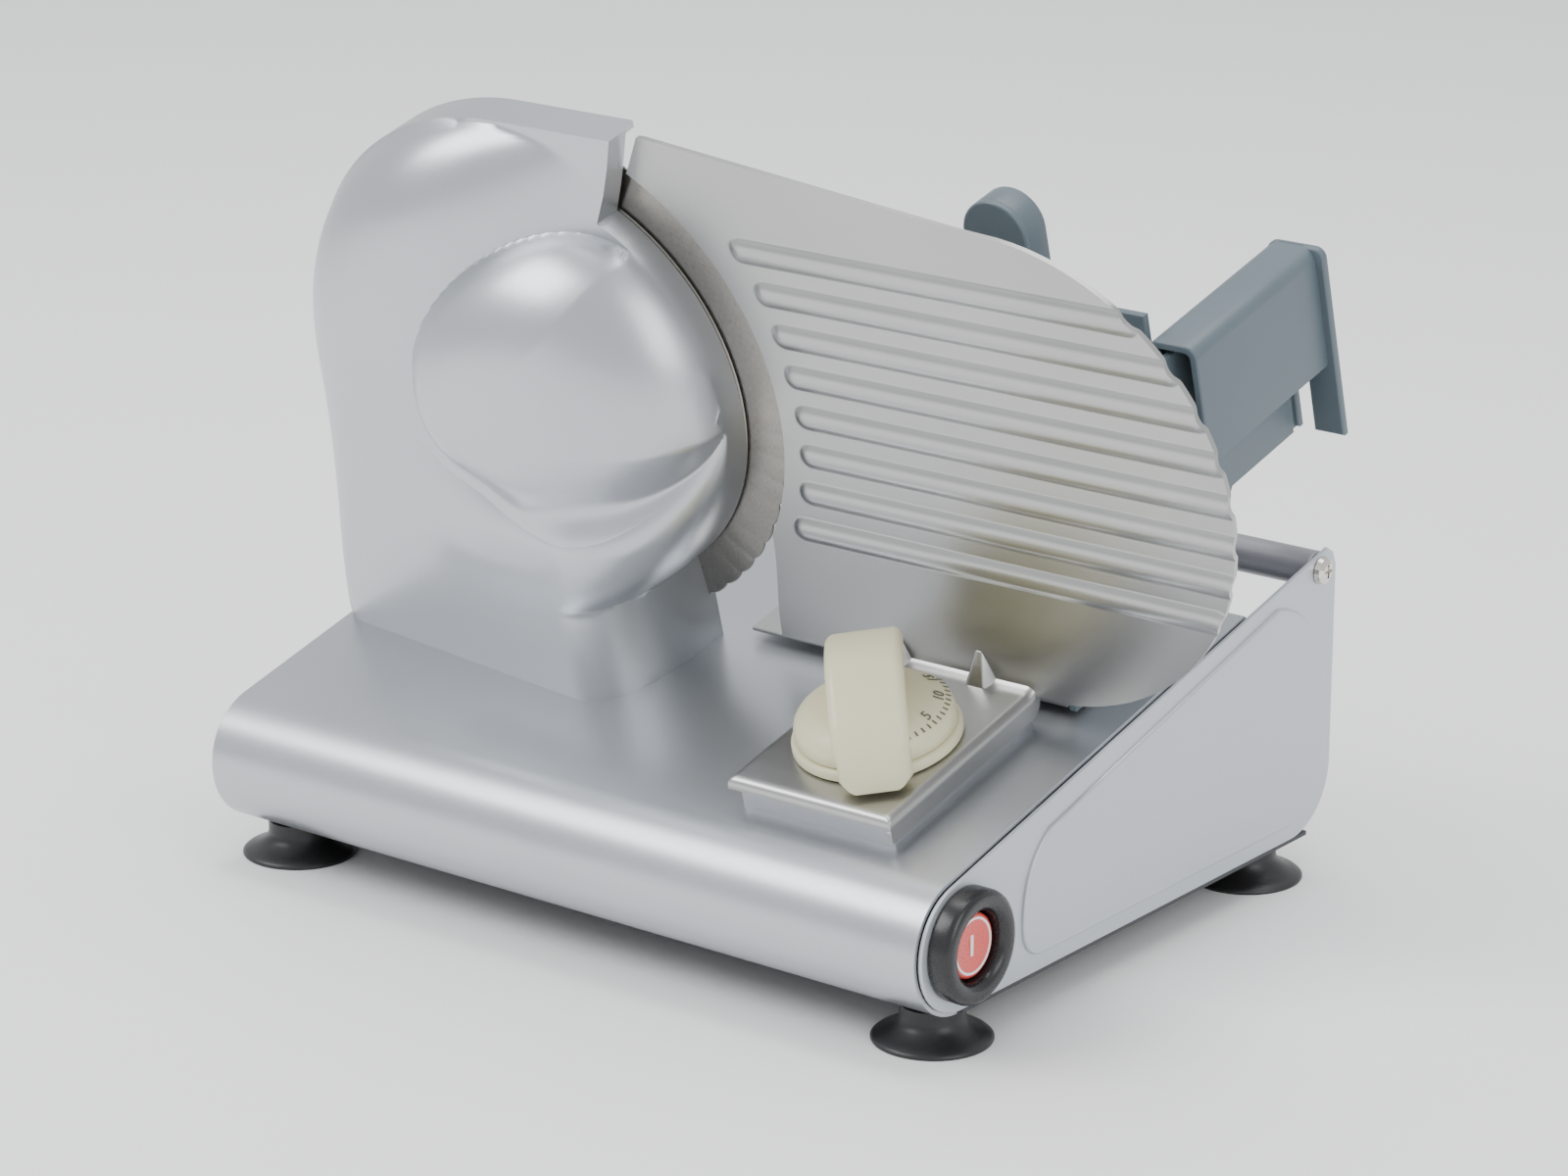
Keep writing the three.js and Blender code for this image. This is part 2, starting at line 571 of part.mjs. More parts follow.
const centres = ((GEAR_TEETH + PINION_TEETH) * GEAR_MODULE) / 2 + 0.1;
const pinionX = centres * Math.cos(pinionAngle);
const pinionW = centres * Math.sin(pinionAngle);
const shaftR = 3;
add(incline, 'drive_gear', forward(gearShape(GEAR_TEETH, SPINDLE_R + GAP, pinionAngle), gearFront, GEAR_WIDTH, 5), nylon());
add(incline, 'pinion', forward(gearShape(PINION_TEETH, shaftR + GAP, pinionAngle + Math.PI + Math.PI / PINION_TEETH),
  gearFront, GEAR_WIDTH, 5).translate(pinionX, 0, pinionW), brass());
const motorRear = gearFront - GEAR_WIDTH - 2.5;
const MOTOR_R = 21;
const MOTOR_LENGTH = 19;
add(incline, 'motor_shaft', turnY(disc(shaftR, motorRear + 0.6, gearFront), 16).translate(pinionX, 0, pinionW), steel());
add(incline, 'drive_motor', turnY([[0, motorRear - MOTOR_LENGTH], [MOTOR_R - 2, motorRear - MOTOR_LENGTH],
  [MOTOR_R, motorRear - MOTOR_LENGTH + 2], [MOTOR_R, motorRear - 1], [MOTOR_R - 1, motorRear], [0, motorRear]], 28)
  .translate(pinionX, 0, pinionW), steel());
function spindleBush() {
  return turnY(ring(SPINDLE_R + GAP, SPINDLE_R + 5, -36, gearFront - GEAR_WIDTH - 1), 20);
}
add(incline, 'spindle_bush', spindleBush(), brass());
function motorBracket() {
  const shape = polygon([[-18, -34], [18, -34], [14, 14], [-14, 14]]);
  const plate = forward(shape, motorRear - 4, 3, 4);
  const bushHole = turnY(disc(SPINDLE_R + 5 + GAP, motorRear - 10, 0), 20);
  const motorHole = turnY(disc(MOTOR_R + GAP, motorRear - 10, 0), 28).translate(pinionX, 0, pinionW);
  return cut(plate, bushHole, motorHole);
}
add(incline, 'motor_bracket', motorBracket(), panGrey());

// ---- Thickness slider ----
const trayLow = floorW + GAP;
const trayHigh = trayLow + TRAY_HEIGHT;
const trayRear = TRAY_FRONT_V + TRAY_LENGTH;
function sliderTray() {
  const left = TRAY_X - TRAY_WIDTH / 2;
  const right = TRAY_X + TRAY_WIDTH / 2;
  const block = box(left, right, TRAY_FRONT_V, trayRear, trayLow, trayHigh);
  const pocket = box(left + TRAY_WALL, right - TRAY_WALL, TRAY_FRONT_V + TRAY_WALL, trayRear - TRAY_WALL,
    trayLow + TRAY_WALL, trayHigh + 1);
  return cut(block, pocket);
}
add(incline, 'slider_tray', sliderTray(), silver());

const coverLow = trayHigh + GAP;
const coverHigh = coverLow + PLATE_THICKNESS;
const coverLeft = TRAY_X - TRAY_WIDTH / 2 - 2.4;
const coverRight = TRAY_X + TRAY_WIDTH / 2 + 2.4;
const coverFront = TRAY_FRONT_V - 3.2;
function plateOutline() {
  const cutR = BLADE_R + BLADE_CLEARANCE;
  const bottom = coverLow;
  const cornerAngle = Math.asin((bottom - PLATE_CENTRE_W) / PLATE_END_R);
  const shape = new THREE.Shape();
  shape.moveTo(PLATE_TOP_X, PLATE_TOP_LEFT);
  shape.lineTo(PLATE_HORN_X, PLATE_HORN_W);
  shape.absarc(0, 0, cutR, Math.atan2(PLATE_HORN_W, PLATE_HORN_X), rad(-30), true);
  shape.lineTo(cutR * Math.cos(rad(-30)) - 4, bottom);
  shape.lineTo(PLATE_CENTRE_X + PLATE_END_R * Math.cos(cornerAngle), bottom);
  shape.absarc(PLATE_CENTRE_X, PLATE_CENTRE_W, PLATE_END_R, cornerAngle, Math.PI / 2, false);
  return shape;
}
function ribStart(w) {
  return Math.sqrt(Math.max((BLADE_R + 10) ** 2 - w * w, 0)) + (w > 20 ? 0.12 * (w - 20) : 0) - 2;
}
function rib(w) {
  const end = PLATE_CENTRE_X + Math.sqrt(PLATE_END_R ** 2 - (Math.abs(w - PLATE_CENTRE_W) + RIB_R) ** 2) - 0.5;
  const start = ribStart(w) + RIB_R;
  const section = polygon([[-RIB_R, 0.5], [-RIB_R, -PLATE_THICKNESS / 2], [-RIB_R * 0.45, -PLATE_THICKNESS / 2 - RIB_HEIGHT],
    [RIB_R * 0.45, -PLATE_THICKNESS / 2 - RIB_HEIGHT], [RIB_R, -PLATE_THICKNESS / 2], [RIB_R, 0.5]]);
  const turn = new THREE.Matrix4().makeBasis(
    new THREE.Vector3(0, 0, 1), new THREE.Vector3(0, 1, 0), new THREE.Vector3(-1, 0, 0));
  return extrude(section, end - start).applyMatrix4(turn).translate(end, 0, w);
}
const plateRear = PLATE_THICKNESS / 2;
function guidePlate() {
  const parts = [];
  for (let i = 0; i < RIBS; i += 1) parts.push(rib(62 - i * RIB_PITCH));
  const top = box(coverLeft, coverRight, coverFront, plateRear - 1, coverLow, coverHigh);
  const lip = box(coverLeft, coverRight, coverFront, coverFront + PLATE_THICKNESS, coverLow - 4, coverHigh - 0.2);
  const leftLip = box(coverLeft, coverLeft + PLATE_THICKNESS, coverFront, plateRear - 1, coverLow - 4, coverHigh - 0.2);
  const side = box(coverRight - PLATE_THICKNESS, coverRight, coverFront, plateRear - 1, coverLow - 9, coverHigh - 0.2);
  const plate = join(forward(plateOutline(), plateRear, PLATE_THICKNESS, 24), ...parts, top, lip, leftLip, side);
  const hole = turnZ(disc(SPINDLE_R + GAP, coverLow - 2, coverHigh + 2), 20).translate(TRAY_X, KNOB_V, 0);
  return cut(plate, hole);
}
add(incline, 'guide_plate', guidePlate(), aluminium());

// Knob group: it rides on the plate's foot, its axis square to the base plane, its grip to the front right.
const knob = new THREE.Group();
knob.position.set(TRAY_X, KNOB_V, 0);
knob.rotation.z = rad(GRIP_ANGLE);
incline.add(knob);
const knobLow = coverHigh + GAP;
const RING_HEIGHT = 4;
add(knob, 'dial_ring', turnZ([[0, knobLow], [KNOB_R + 0.8, knobLow], [KNOB_R + 0.8, knobLow + RING_HEIGHT - 1],
  [KNOB_R, knobLow + RING_HEIGHT], [0, knobLow + RING_HEIGHT]], 40), cream());
function knobBody() {
  const low = knobLow + RING_HEIGHT + GAP;
  const dome = turnZ([[0, low], [KNOB_R - 0.6, low], [KNOB_R - 0.8, low + 4], [KNOB_R - 3, low + 8],
    [KNOB_R - 8, low + 10.5], [0, low + 12]], 36);
  const top = knobLow + KNOB_HEIGHT;
  const arch = new THREE.Shape();
  arch.moveTo(-GRIP_REACH, low - 3);
  arch.quadraticCurveTo(-GRIP_REACH - 0.5, low + 14, -GRIP_REACH * 0.62, low + 22);
  arch.quadraticCurveTo(-GRIP_REACH * 0.3, top, 0, top);
  arch.quadraticCurveTo(GRIP_REACH * 0.42, top, GRIP_REACH * 0.5, top - 9);
  arch.quadraticCurveTo(GRIP_REACH * 0.6, low + 14, GRIP_REACH * 0.6, low + 6);
  arch.lineTo(KNOB_R - 8, low);
  arch.lineTo(-KNOB_R - 1.6, low);
  arch.lineTo(-KNOB_R - 1.6, low - 3);
  const grip = alongX(arch, -GRIP_WIDTH / 2, GRIP_WIDTH, 5);
  return join(dome, grip);
}
add(knob, 'knob', knobBody(), cream());
add(knob, 'knob_spindle', turnZ(disc(SPINDLE_R, trayLow + TRAY_WALL + GAP, knobLow - GAP), 20), nylon());
const camLow = trayLow + TRAY_WALL + 1;
function camOutline() {
  const outline = [];
  const steps = 30;
  for (let i = 0; i <= steps; i += 1) {
    const share = i / steps;
    const r = CAM_R + TRAVEL_THICKNESS * share;
    const angle = rad(90 - GRIP_ANGLE - KNOB_TURN * share);
    outline.push([r * Math.cos(angle), r * Math.sin(angle)]);
  }
  const shape = polygon(outline.reverse());
  const hole = new THREE.Path();
  hole.absarc(0, 0, SPINDLE_R + GAP, 0, 2 * Math.PI, true);
  shape.holes.push(hole);
  return shape;
}
add(knob, 'thickness_cam', extrude(camOutline(), 4, 5).translate(0, 0, camLow), nylon());
// The pin stands in the tray behind the cam, so a growing cam pushes the plate to the front.
const pinV = KNOB_V + CAM_R + PIN_R + 2 * GAP;
const pin = turnZ(disc(PIN_R, trayLow + TRAY_WALL, coverLow - GAP), 14);
add(incline, 'cam_follower', pin.translate(TRAY_X, pinV, 0), steel());

// ---- Carriage ----
const floorLow = floorW + CARRIAGE_LIFT;
const floorHigh = floorLow + SHEET;
const carriageRear = ROD_BEHIND + 4;
const rodW = floorW - ROD_DROP;
function carriageFloor() {
  const plate = box(CARRIAGE_LEFT, CARRIAGE_RIGHT, CARRIAGE_FRONT, carriageRear, floorLow, floorHigh);
  const lip = box(CARRIAGE_LEFT, CARRIAGE_RIGHT, carriageRear - SHEET, carriageRear, floorLow, floorHigh + 8);
  const corner = box(CARRIAGE_RIGHT - 24, CARRIAGE_RIGHT + 1, PUSHER_V + 10, carriageRear + 1, floorLow - 1,
    floorHigh + 10);
  return cut(join(plate, lip), corner);
}
add(incline, 'carriage_floor', carriageFloor(), aluminium());
const railLeft = CARRIAGE_RIGHT + GAP;
function carriageWall() {
  const low = floorLow - 1;
  const high = floorW + RAIL_TOP;
  const keel = floorW + PUSHER_BOTTOM + 4;
  const shape = polygon([[CARRIAGE_FRONT, low], [PUSHER_V + 2, low], [PUSHER_V + 26, keel], [RAIL_REAR, keel],
    [RAIL_REAR, high], [CARRIAGE_FRONT, high]]);
  return alongX(shape, railLeft, RAIL_THICKNESS, 4);
}
add(incline, 'carriage_wall', carriageWall(), bluePlastic());
const BUSH_LENGTH = 14;
const bushStarts = [['left', CARRIAGE_LEFT + 32], ['right', CARRIAGE_RIGHT - 40]];
for (const [side, x] of bushStarts) {
  add(incline, `rod_bush_${side}`, turnX(ring(ROD_R + 0.15, ROD_R + 3, x, x + BUSH_LENGTH), 24)
    .translate(0, ROD_BEHIND, rodW), nylon());
  add(incline, `carriage_glide_${side}`, box(x, x + 12, CARRIAGE_FRONT + 2, CARRIAGE_FRONT + 12,
    floorW + 2 * GAP, floorLow - GAP), nylon());
}

// ---- Food pusher: a channel over the carriage wall, with a press plate across the food ----
const pusherLeft = railLeft - 3 - PUSHER_WALL;
const pusherRight = pusherLeft + 20;
const pusherHigh = floorW + RAIL_TOP + 2 + PUSHER_WALL;
const pusherLow = floorW + PUSHER_BOTTOM;
function foodPusher() {
  const top = box(pusherLeft, pusherRight, PUSHER_V, PUSHER_REAR, pusherHigh - PUSHER_WALL, pusherHigh);
  const inner = box(pusherLeft, pusherLeft + PUSHER_WALL, PUSHER_V, PUSHER_REAR, pusherLow, pusherHigh);
  const outer = box(pusherRight - PUSHER_WALL, pusherRight, PUSHER_V, PUSHER_REAR, pusherHigh - PUSHER_SKIRT, pusherHigh);
  const flange = box(pusherLeft, pusherRight + 3, PUSHER_REAR - PUSHER_WALL, PUSHER_REAR, pusherLow, pusherHigh);
  const passage = box(railLeft - 1.2, railLeft + RAIL_THICKNESS + 1.2, PUSHER_REAR - 10, PUSHER_REAR + 10,
    pusherLow - 5, pusherHigh - PUSHER_WALL);
  const press = box(PRESS_LEFT, pusherLeft + 1, PUSHER_V, PUSHER_V + PUSHER_WALL, floorHigh + 2, floorW + PRESS_TOP);
  const hood = new THREE.Shape();
  hood.moveTo(HOOD_X - HOOD_R, floorW + PRESS_TOP - 6);
  hood.lineTo(HOOD_X + HOOD_R, floorW + PRESS_TOP - 6);
  hood.lineTo(HOOD_X + HOOD_R, floorW + HOOD_TOP - HOOD_R);
  hood.absarc(HOOD_X, floorW + HOOD_TOP - HOOD_R, HOOD_R, 0, Math.PI, false);
  const guard = forward(hood, PUSHER_V + PUSHER_WALL, PUSHER_WALL, 10);
  return cut(join(top, inner, outer, flange, press, guard), passage);
}
add(incline, 'food_pusher', foodPusher(), bluePlastic());

// The row's origin is the middle of the footprint, on the floor.
slicer.updateMatrixWorld(true);
const extent = new THREE.Box3().setFromObject(slicer, true);
const middle = extent.getCenter(new THREE.Vector3());
slicer.position.set(-middle.x, -middle.y, -extent.min.z);
slicer.updateMatrixWorld(true);

export default slicer;
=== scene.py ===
import json
import math

import bpy
from mathutils import Matrix, Vector


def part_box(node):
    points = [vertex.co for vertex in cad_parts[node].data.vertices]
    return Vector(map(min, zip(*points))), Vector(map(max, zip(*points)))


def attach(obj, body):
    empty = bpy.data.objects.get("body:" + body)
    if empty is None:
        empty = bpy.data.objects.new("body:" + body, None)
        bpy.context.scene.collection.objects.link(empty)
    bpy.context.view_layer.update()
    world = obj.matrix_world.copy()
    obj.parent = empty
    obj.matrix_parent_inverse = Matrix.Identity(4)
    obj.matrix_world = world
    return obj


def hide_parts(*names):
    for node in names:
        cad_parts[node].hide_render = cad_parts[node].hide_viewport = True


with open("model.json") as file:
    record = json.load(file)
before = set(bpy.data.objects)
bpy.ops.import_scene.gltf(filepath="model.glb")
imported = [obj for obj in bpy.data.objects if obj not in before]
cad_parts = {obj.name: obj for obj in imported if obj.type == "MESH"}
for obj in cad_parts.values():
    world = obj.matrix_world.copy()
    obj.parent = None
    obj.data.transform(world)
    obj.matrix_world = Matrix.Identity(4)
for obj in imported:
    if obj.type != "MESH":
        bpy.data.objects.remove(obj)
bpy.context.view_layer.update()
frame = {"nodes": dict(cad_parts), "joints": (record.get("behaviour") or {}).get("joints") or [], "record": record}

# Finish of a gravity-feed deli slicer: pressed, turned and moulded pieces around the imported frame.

MM = 0.001
JOINT = {joint["name"]: joint for joint in frame["joints"]}
BLADE = Vector(JOINT["blade_spin"]["pos_m"])
ALONG = Vector(JOINT["blade_spin"]["axis"]).normalized()        # up the slope, to the back
RIGHT = Vector((1, 0, 0))
NORMAL = RIGHT.cross(ALONG)
SLOPE = math.atan2(ALONG.z, ALONG.y)


def frame_of(x_axis, y_axis, z_axis, origin, scale=MM):
    rotation = Matrix((x_axis, y_axis, z_axis)).transposed().to_4x4()
    return Matrix.Translation(origin) @ rotation @ Matrix.Scale(scale, 4)


# The slope's own frame, in mm: x to the right, y up the slope, z square to it, from the blade axis.
INCLINE = frame_of(RIGHT, ALONG, NORMAL, BLADE)
# Drawing frames for flat pieces: (x, z) of the slope with thickness towards the front, and plain (y, z).
FACE = INCLINE @ Matrix(((1, 0, 0, 0), (0, 0, -1, 0), (0, 1, 0, 0), (0, 0, 0, 1)))


def low(node):
    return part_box(node)[0]


def high(node):
    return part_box(node)[1]


# ---------------------------------------------------------------- making pieces
def smoothstep(a, b, value):
    t = min(max((value - a) / (b - a), 0.0), 1.0)
    return t * t * (3 - 2 * t)


def mix(a, b, t):
    return a + (b - a) * t


def finish(piece, name, matrix, angle=35, flip=False):
    """Puts a piece drawn in mm at its place, with its object at the origin."""
    piece.name = piece.data.name = name
    piece.data.transform(matrix)
    piece.matrix_world = Matrix.Identity(4)
    bpy.ops.object.select_all(action="DESELECT")
    piece.select_set(True)
    bpy.context.view_layer.objects.active = piece
    bpy.ops.object.mode_set(mode="EDIT")
    bpy.ops.mesh.select_all(action="SELECT")
    bpy.ops.mesh.normals_make_consistent(inside=flip)
    bpy.ops.object.mode_set(mode="OBJECT")
    bpy.ops.object.shade_smooth_by_angle(angle=math.radians(angle))
    return piece


def apply(piece, kind, **values):
    modifier = piece.modifiers.new(kind.title(), kind)
    for key, value in values.items():
        setattr(modifier, key, value)
    bpy.context.view_layer.objects.active = piece
    bpy.ops.object.modifier_apply(modifier=modifier.name)


def fresh():
    bpy.ops.object.select_all(action="DESELECT")


def pressed(name, columns, rows, place, thickness, matrix, merge=0.0, outward=1, angle=35):
    """A sheet pressed from a grid: place(u, t) gives a point for u and t from 0 to 1."""
    fresh()
    bpy.ops.mesh.primitive_grid_add(x_subdivisions=columns, y_subdivisions=rows, size=1)
    piece = bpy.context.object
    for vertex in piece.data.vertices:
        vertex.co = place(vertex.co.x + 0.5, vertex.co.y + 0.5)
    if merge:
        bpy.ops.object.mode_set(mode="EDIT")
        bpy.ops.mesh.select_all(action="SELECT")
        bpy.ops.mesh.remove_doubles(threshold=merge)
        bpy.ops.mesh.dissolve_degenerate(threshold=merge)
        bpy.ops.object.mode_set(mode="OBJECT")
    if thickness:
        apply(piece, "SOLIDIFY", thickness=thickness, offset=-outward)
    return finish(piece, name, matrix, angle)


def turned(name, profile, matrix, steps=64, angle=35, shape=None):
    """A turned piece: a disc extruded and scaled ring by ring along z. profile holds (radius, z)."""
    fresh()
    radius, z = profile[0]
    bpy.ops.mesh.primitive_circle_add(vertices=steps, radius=radius, fill_type="NGON", location=(0, 0, z))
    piece = bpy.context.object
    bpy.ops.object.transform_apply(location=True, rotation=False, scale=False)
    bpy.ops.object.mode_set(mode="EDIT")
    bpy.ops.mesh.select_all(action="SELECT")
    for next_radius, next_z in profile[1:]:
        bpy.ops.mesh.extrude_region_move(TRANSFORM_OT_translate={"value": (0, 0, next_z - z)})
        factor = next_radius / radius
        bpy.ops.transform.resize(value=(factor, factor, 1), center_override=(0, 0, next_z))
        radius, z = next_radius, next_z
    bpy.ops.object.mode_set(mode="OBJECT")
    if shape:
        for vertex in piece.data.vertices:
            shape(vertex.co)
    return finish(piece, name, matrix, angle)


def slab(name, outline, z0, z1, matrix, rounding=0.8, angle=40, soft=3):
    """A flat piece cut from an outline, from z0 to z1, with rounded edges."""
    curve = bpy.data.curves.new(name, "CURVE")
    curve.dimensions = "2D"
    curve.fill_mode = "BOTH"
    spline = curve.splines.new("POLY")
    spline.points.add(len(outline) - 1)
    for point, (x, y) in zip(spline.points, outline):
        point.co = (x, y, 0, 1)
    spline.use_cyclic_u = True
    curve.extrude = (z1 - z0) / 2 - rounding
    curve.bevel_depth = rounding
    curve.bevel_resolution = soft
    curve.offset = -rounding
    piece = bpy.data.objects.new(name, curve)
    bpy.context.collection.objects.link(piece)
    fresh()
    piece.select_set(True)
    bpy.context.view_layer.objects.active = piece
    bpy.ops.object.convert(target="MESH")
    piece = bpy.context.object
    piece.data.transform(Matrix.Translation((0, 0, (z0 + z1) / 2)))
    apply(piece, "WELD", merge_threshold=0.01)
    return finish(piece, name, matrix, angle)


def block(name, corner, opposite, matrix, rounding=0.6):
    """A rectangular piece with softened edges."""
    fresh()
    middle = [(a + b) / 2 for a, b in zip(corner, opposite)]
    bpy.ops.mesh.primitive_cube_add(size=1, location=middle)
    piece = bpy.context.object
    piece.scale = [b - a for a, b in zip(corner, opposite)]
    bpy.ops.object.transform_apply(location=True, rotation=False, scale=True)
    apply(piece, "BEVEL", width=rounding, segments=3)
    return finish(piece, name, matrix)


def joined(name, *pieces):
    fresh()
    for piece in pieces:
        piece.select_set(True)
    bpy.context.view_layer.objects.active = pieces[0]
    bpy.ops.object.join()
    whole = bpy.context.object
    whole.name = whole.data.name = name
    return whole


def arc(cx, cy, radius, start, end, steps):
    """Points on an arc, angles in degrees."""
    turns = [math.radians(mix(start, end, i / steps)) for i in range(steps + 1)]
    return [(cx + radius * math.cos(a), cy + radius * math.sin(a)) for a in turns]


def walk(points, share):
    """The point at a share of a polyline's length."""
    lengths = [math.dist(a, b) for a, b in zip(points, points[1:])]
    left = share * sum(lengths)
    for a, b, length in zip(points, points[1:], lengths):
        if left <= length or b is points[-1]:
            t = left / length if length else 0
            return mix(a[0], b[0], min(t, 1)), mix(a[1], b[1], min(t, 1))
        left -= length
    return points[-1]


# ---------------------------------------------------------------- shader groups
def group(name, inputs, outputs):
    tree = bpy.data.node_groups.new(name, "ShaderNodeTree")
    for label, value in inputs:
        kind = "NodeSocketVector" if isinstance(value, tuple) and len(value) == 3 else (
            "NodeSocketColor" if isinstance(value, tuple) else "NodeSocketFloat")
        socket = tree.interface.new_socket(label, in_out="INPUT", socket_type=kind)
        socket.default_value = value
    for label, kind in outputs:
        tree.interface.new_socket(label, in_out="OUTPUT", socket_type=kind)
    return tree, tree.nodes.new("NodeGroupInput"), tree.nodes.new("NodeGroupOutput")


def math_node(tree, operation, a, b=None):
    node = tree.nodes.new("ShaderNodeMath")
    node.operation = operation
    for socket, value in zip(node.inputs, (a, b)):
        if value is None:
            continue
        if isinstance(value, (int, float)):
            socket.default_value = value
        else:
            tree.links.new(value, socket)
    return node.outputs[0]


def make_skin():
    """Fine surface: a grain height, and slow patches for colour and gloss."""
    controls = [("Grain", 900.0), ("Detail", 3.0), ("Stretch", (1.0, 1.0, 1.0)), ("Patch", 18.0)]
    results = [(label, "NodeSocketFloat") for label in ("Height", "Patches", "Fine")]
    tree, given, out = group("skin", controls, results)
    where = tree.nodes.new("ShaderNodeTexCoord")
    stretched = tree.nodes.new("ShaderNodeVectorMath")
    stretched.operation = "MULTIPLY"
    tree.links.new(where.outputs["Object"], stretched.inputs[0])
    tree.links.new(given.outputs["Stretch"], stretched.inputs[1])
    grain = tree.nodes.new("ShaderNodeTexNoise")
    tree.links.new(stretched.outputs[0], grain.inputs["Vector"])
    tree.links.new(given.outputs["Grain"], grain.inputs["Scale"])
    tree.links.new(given.outputs["Detail"], grain.inputs["Detail"])
    patch = tree.nodes.new("ShaderNodeTexNoise")
    patch.inputs["Detail"].default_value = 4
    tree.links.new(where.outputs["Object"], patch.inputs["Vector"])
    tree.links.new(given.outputs["Patch"], patch.inputs["Scale"])
    tree.links.new(grain.outputs["Fac"], out.inputs["Height"])
    tree.links.new(patch.outputs["Fac"], out.inputs["Patches"])
    tree.links.new(math_node(tree, "MULTIPLY", grain.outputs["Fac"], patch.outputs["Fac"]),
                   out.inputs["Fine"])
    return tree


def make_lathe_marks():
    """Grinding marks that run round the blade, from its radius and angle."""
    tree, given, out = group("lathe_marks", [("Rings", 2600.0), ("Streaks", 40.0)],
                             [("Height", "NodeSocketFloat"), ("Shine", "NodeSocketFloat")])
    where = tree.nodes.new("ShaderNodeTexCoord")
    centred = tree.nodes.new("ShaderNodeMapping")
    centred.vector_type = "TEXTURE"
    centred.inputs["Location"].default_value = BLADE
    centred.inputs["Rotation"].default_value = (SLOPE, 0, 0)
    tree.links.new(where.outputs["Object"], centred.inputs["Vector"])
    parts = tree.nodes.new("ShaderNodeSeparateXYZ")
    tree.links.new(centred.outputs[0], parts.inputs[0])
    across, up = parts.outputs["X"], parts.outputs["Z"]
    radius = math_node(tree, "SQRT", math_node(tree, "ADD", math_node(tree, "MULTIPLY", across, across),
                                               math_node(tree, "MULTIPLY", up, up)))
    angle = math_node(tree, "ARCTAN2", up, across)
    flat = tree.nodes.new("ShaderNodeCombineXYZ")
    tree.links.new(math_node(tree, "MULTIPLY", radius, given.outputs["Rings"]), flat.inputs["X"])
    tree.links.new(math_node(tree, "MULTIPLY", angle, given.outputs["Streaks"]), flat.inputs["Y"])
    marks = tree.nodes.new("ShaderNodeTexNoise")
    marks.inputs["Scale"].default_value = 1
    marks.inputs["Detail"].default_value = 3
    tree.links.new(flat.outputs[0], marks.inputs["Vector"])
    tree.links.new(marks.outputs["Fac"], out.inputs["Height"])
    tree.links.new(math_node(tree, "POWER", marks.outputs["Fac"], 1.5), out.inputs["Shine"])
    return tree


SKIN = make_skin()
LATHE_MARKS = make_lathe_marks()


def coat_of(name, colour, patch_colour, rough, rough_patch, metallic=0.0, grain=900, stretch=(1, 1, 1),
            bump=0.1,
            depth=0.0002, patch=18, tree=None, coat=0.0, coat_rough=0.1, specular=0.5):
    """A finish: colour and gloss drift slowly over the piece, and the grain stands up in the bump."""
    material = bpy.data.materials.new(name)
    material.use_nodes = True
    nodes, links = material.node_tree.nodes, material.node_tree.links
    shader = nodes["Principled BSDF"]
    shader.inputs["Metallic"].default_value = metallic
    shader.inputs["Coat Weight"].default_value = coat
    shader.inputs["Coat Roughness"].default_value = coat_rough
    shader.inputs["Specular IOR Level"].default_value = specular
    surface = nodes.new("ShaderNodeGroup")
    surface.node_tree = tree or SKIN
    if tree is None:
        surface.inputs["Grain"].default_value = grain
        surface.inputs["Stretch"].default_value = stretch
        surface.inputs["Patch"].default_value = patch
    drift = surface.outputs["Patches"] if tree is None else surface.outputs["Shine"]
    tint = nodes.new("ShaderNodeMix")
    tint.data_type = "RGBA"
    tint.inputs[6].default_value = (*colour, 1)
    tint.inputs[7].default_value = (*patch_colour, 1)
    links.new(drift, tint.inputs[0])
    links.new(tint.outputs[2], shader.inputs["Base Color"])
    gloss = nodes.new("ShaderNodeMapRange")
    gloss.inputs["To Min"].default_value = rough
    gloss.inputs["To Max"].default_value = rough_patch
    links.new(surface.outputs["Fine"] if tree is None else drift, gloss.inputs["Value"])
    links.new(gloss.outputs[0], shader.inputs["Roughness"])
    relief = nodes.new("ShaderNodeBump")
    relief.inputs["Strength"].default_value = bump
    relief.inputs["Distance"].default_value = depth
    links.new(surface.outputs["Height"], relief.inputs["Height"])
    links.new(relief.outputs[0], shader.inputs["Normal"])
    return material


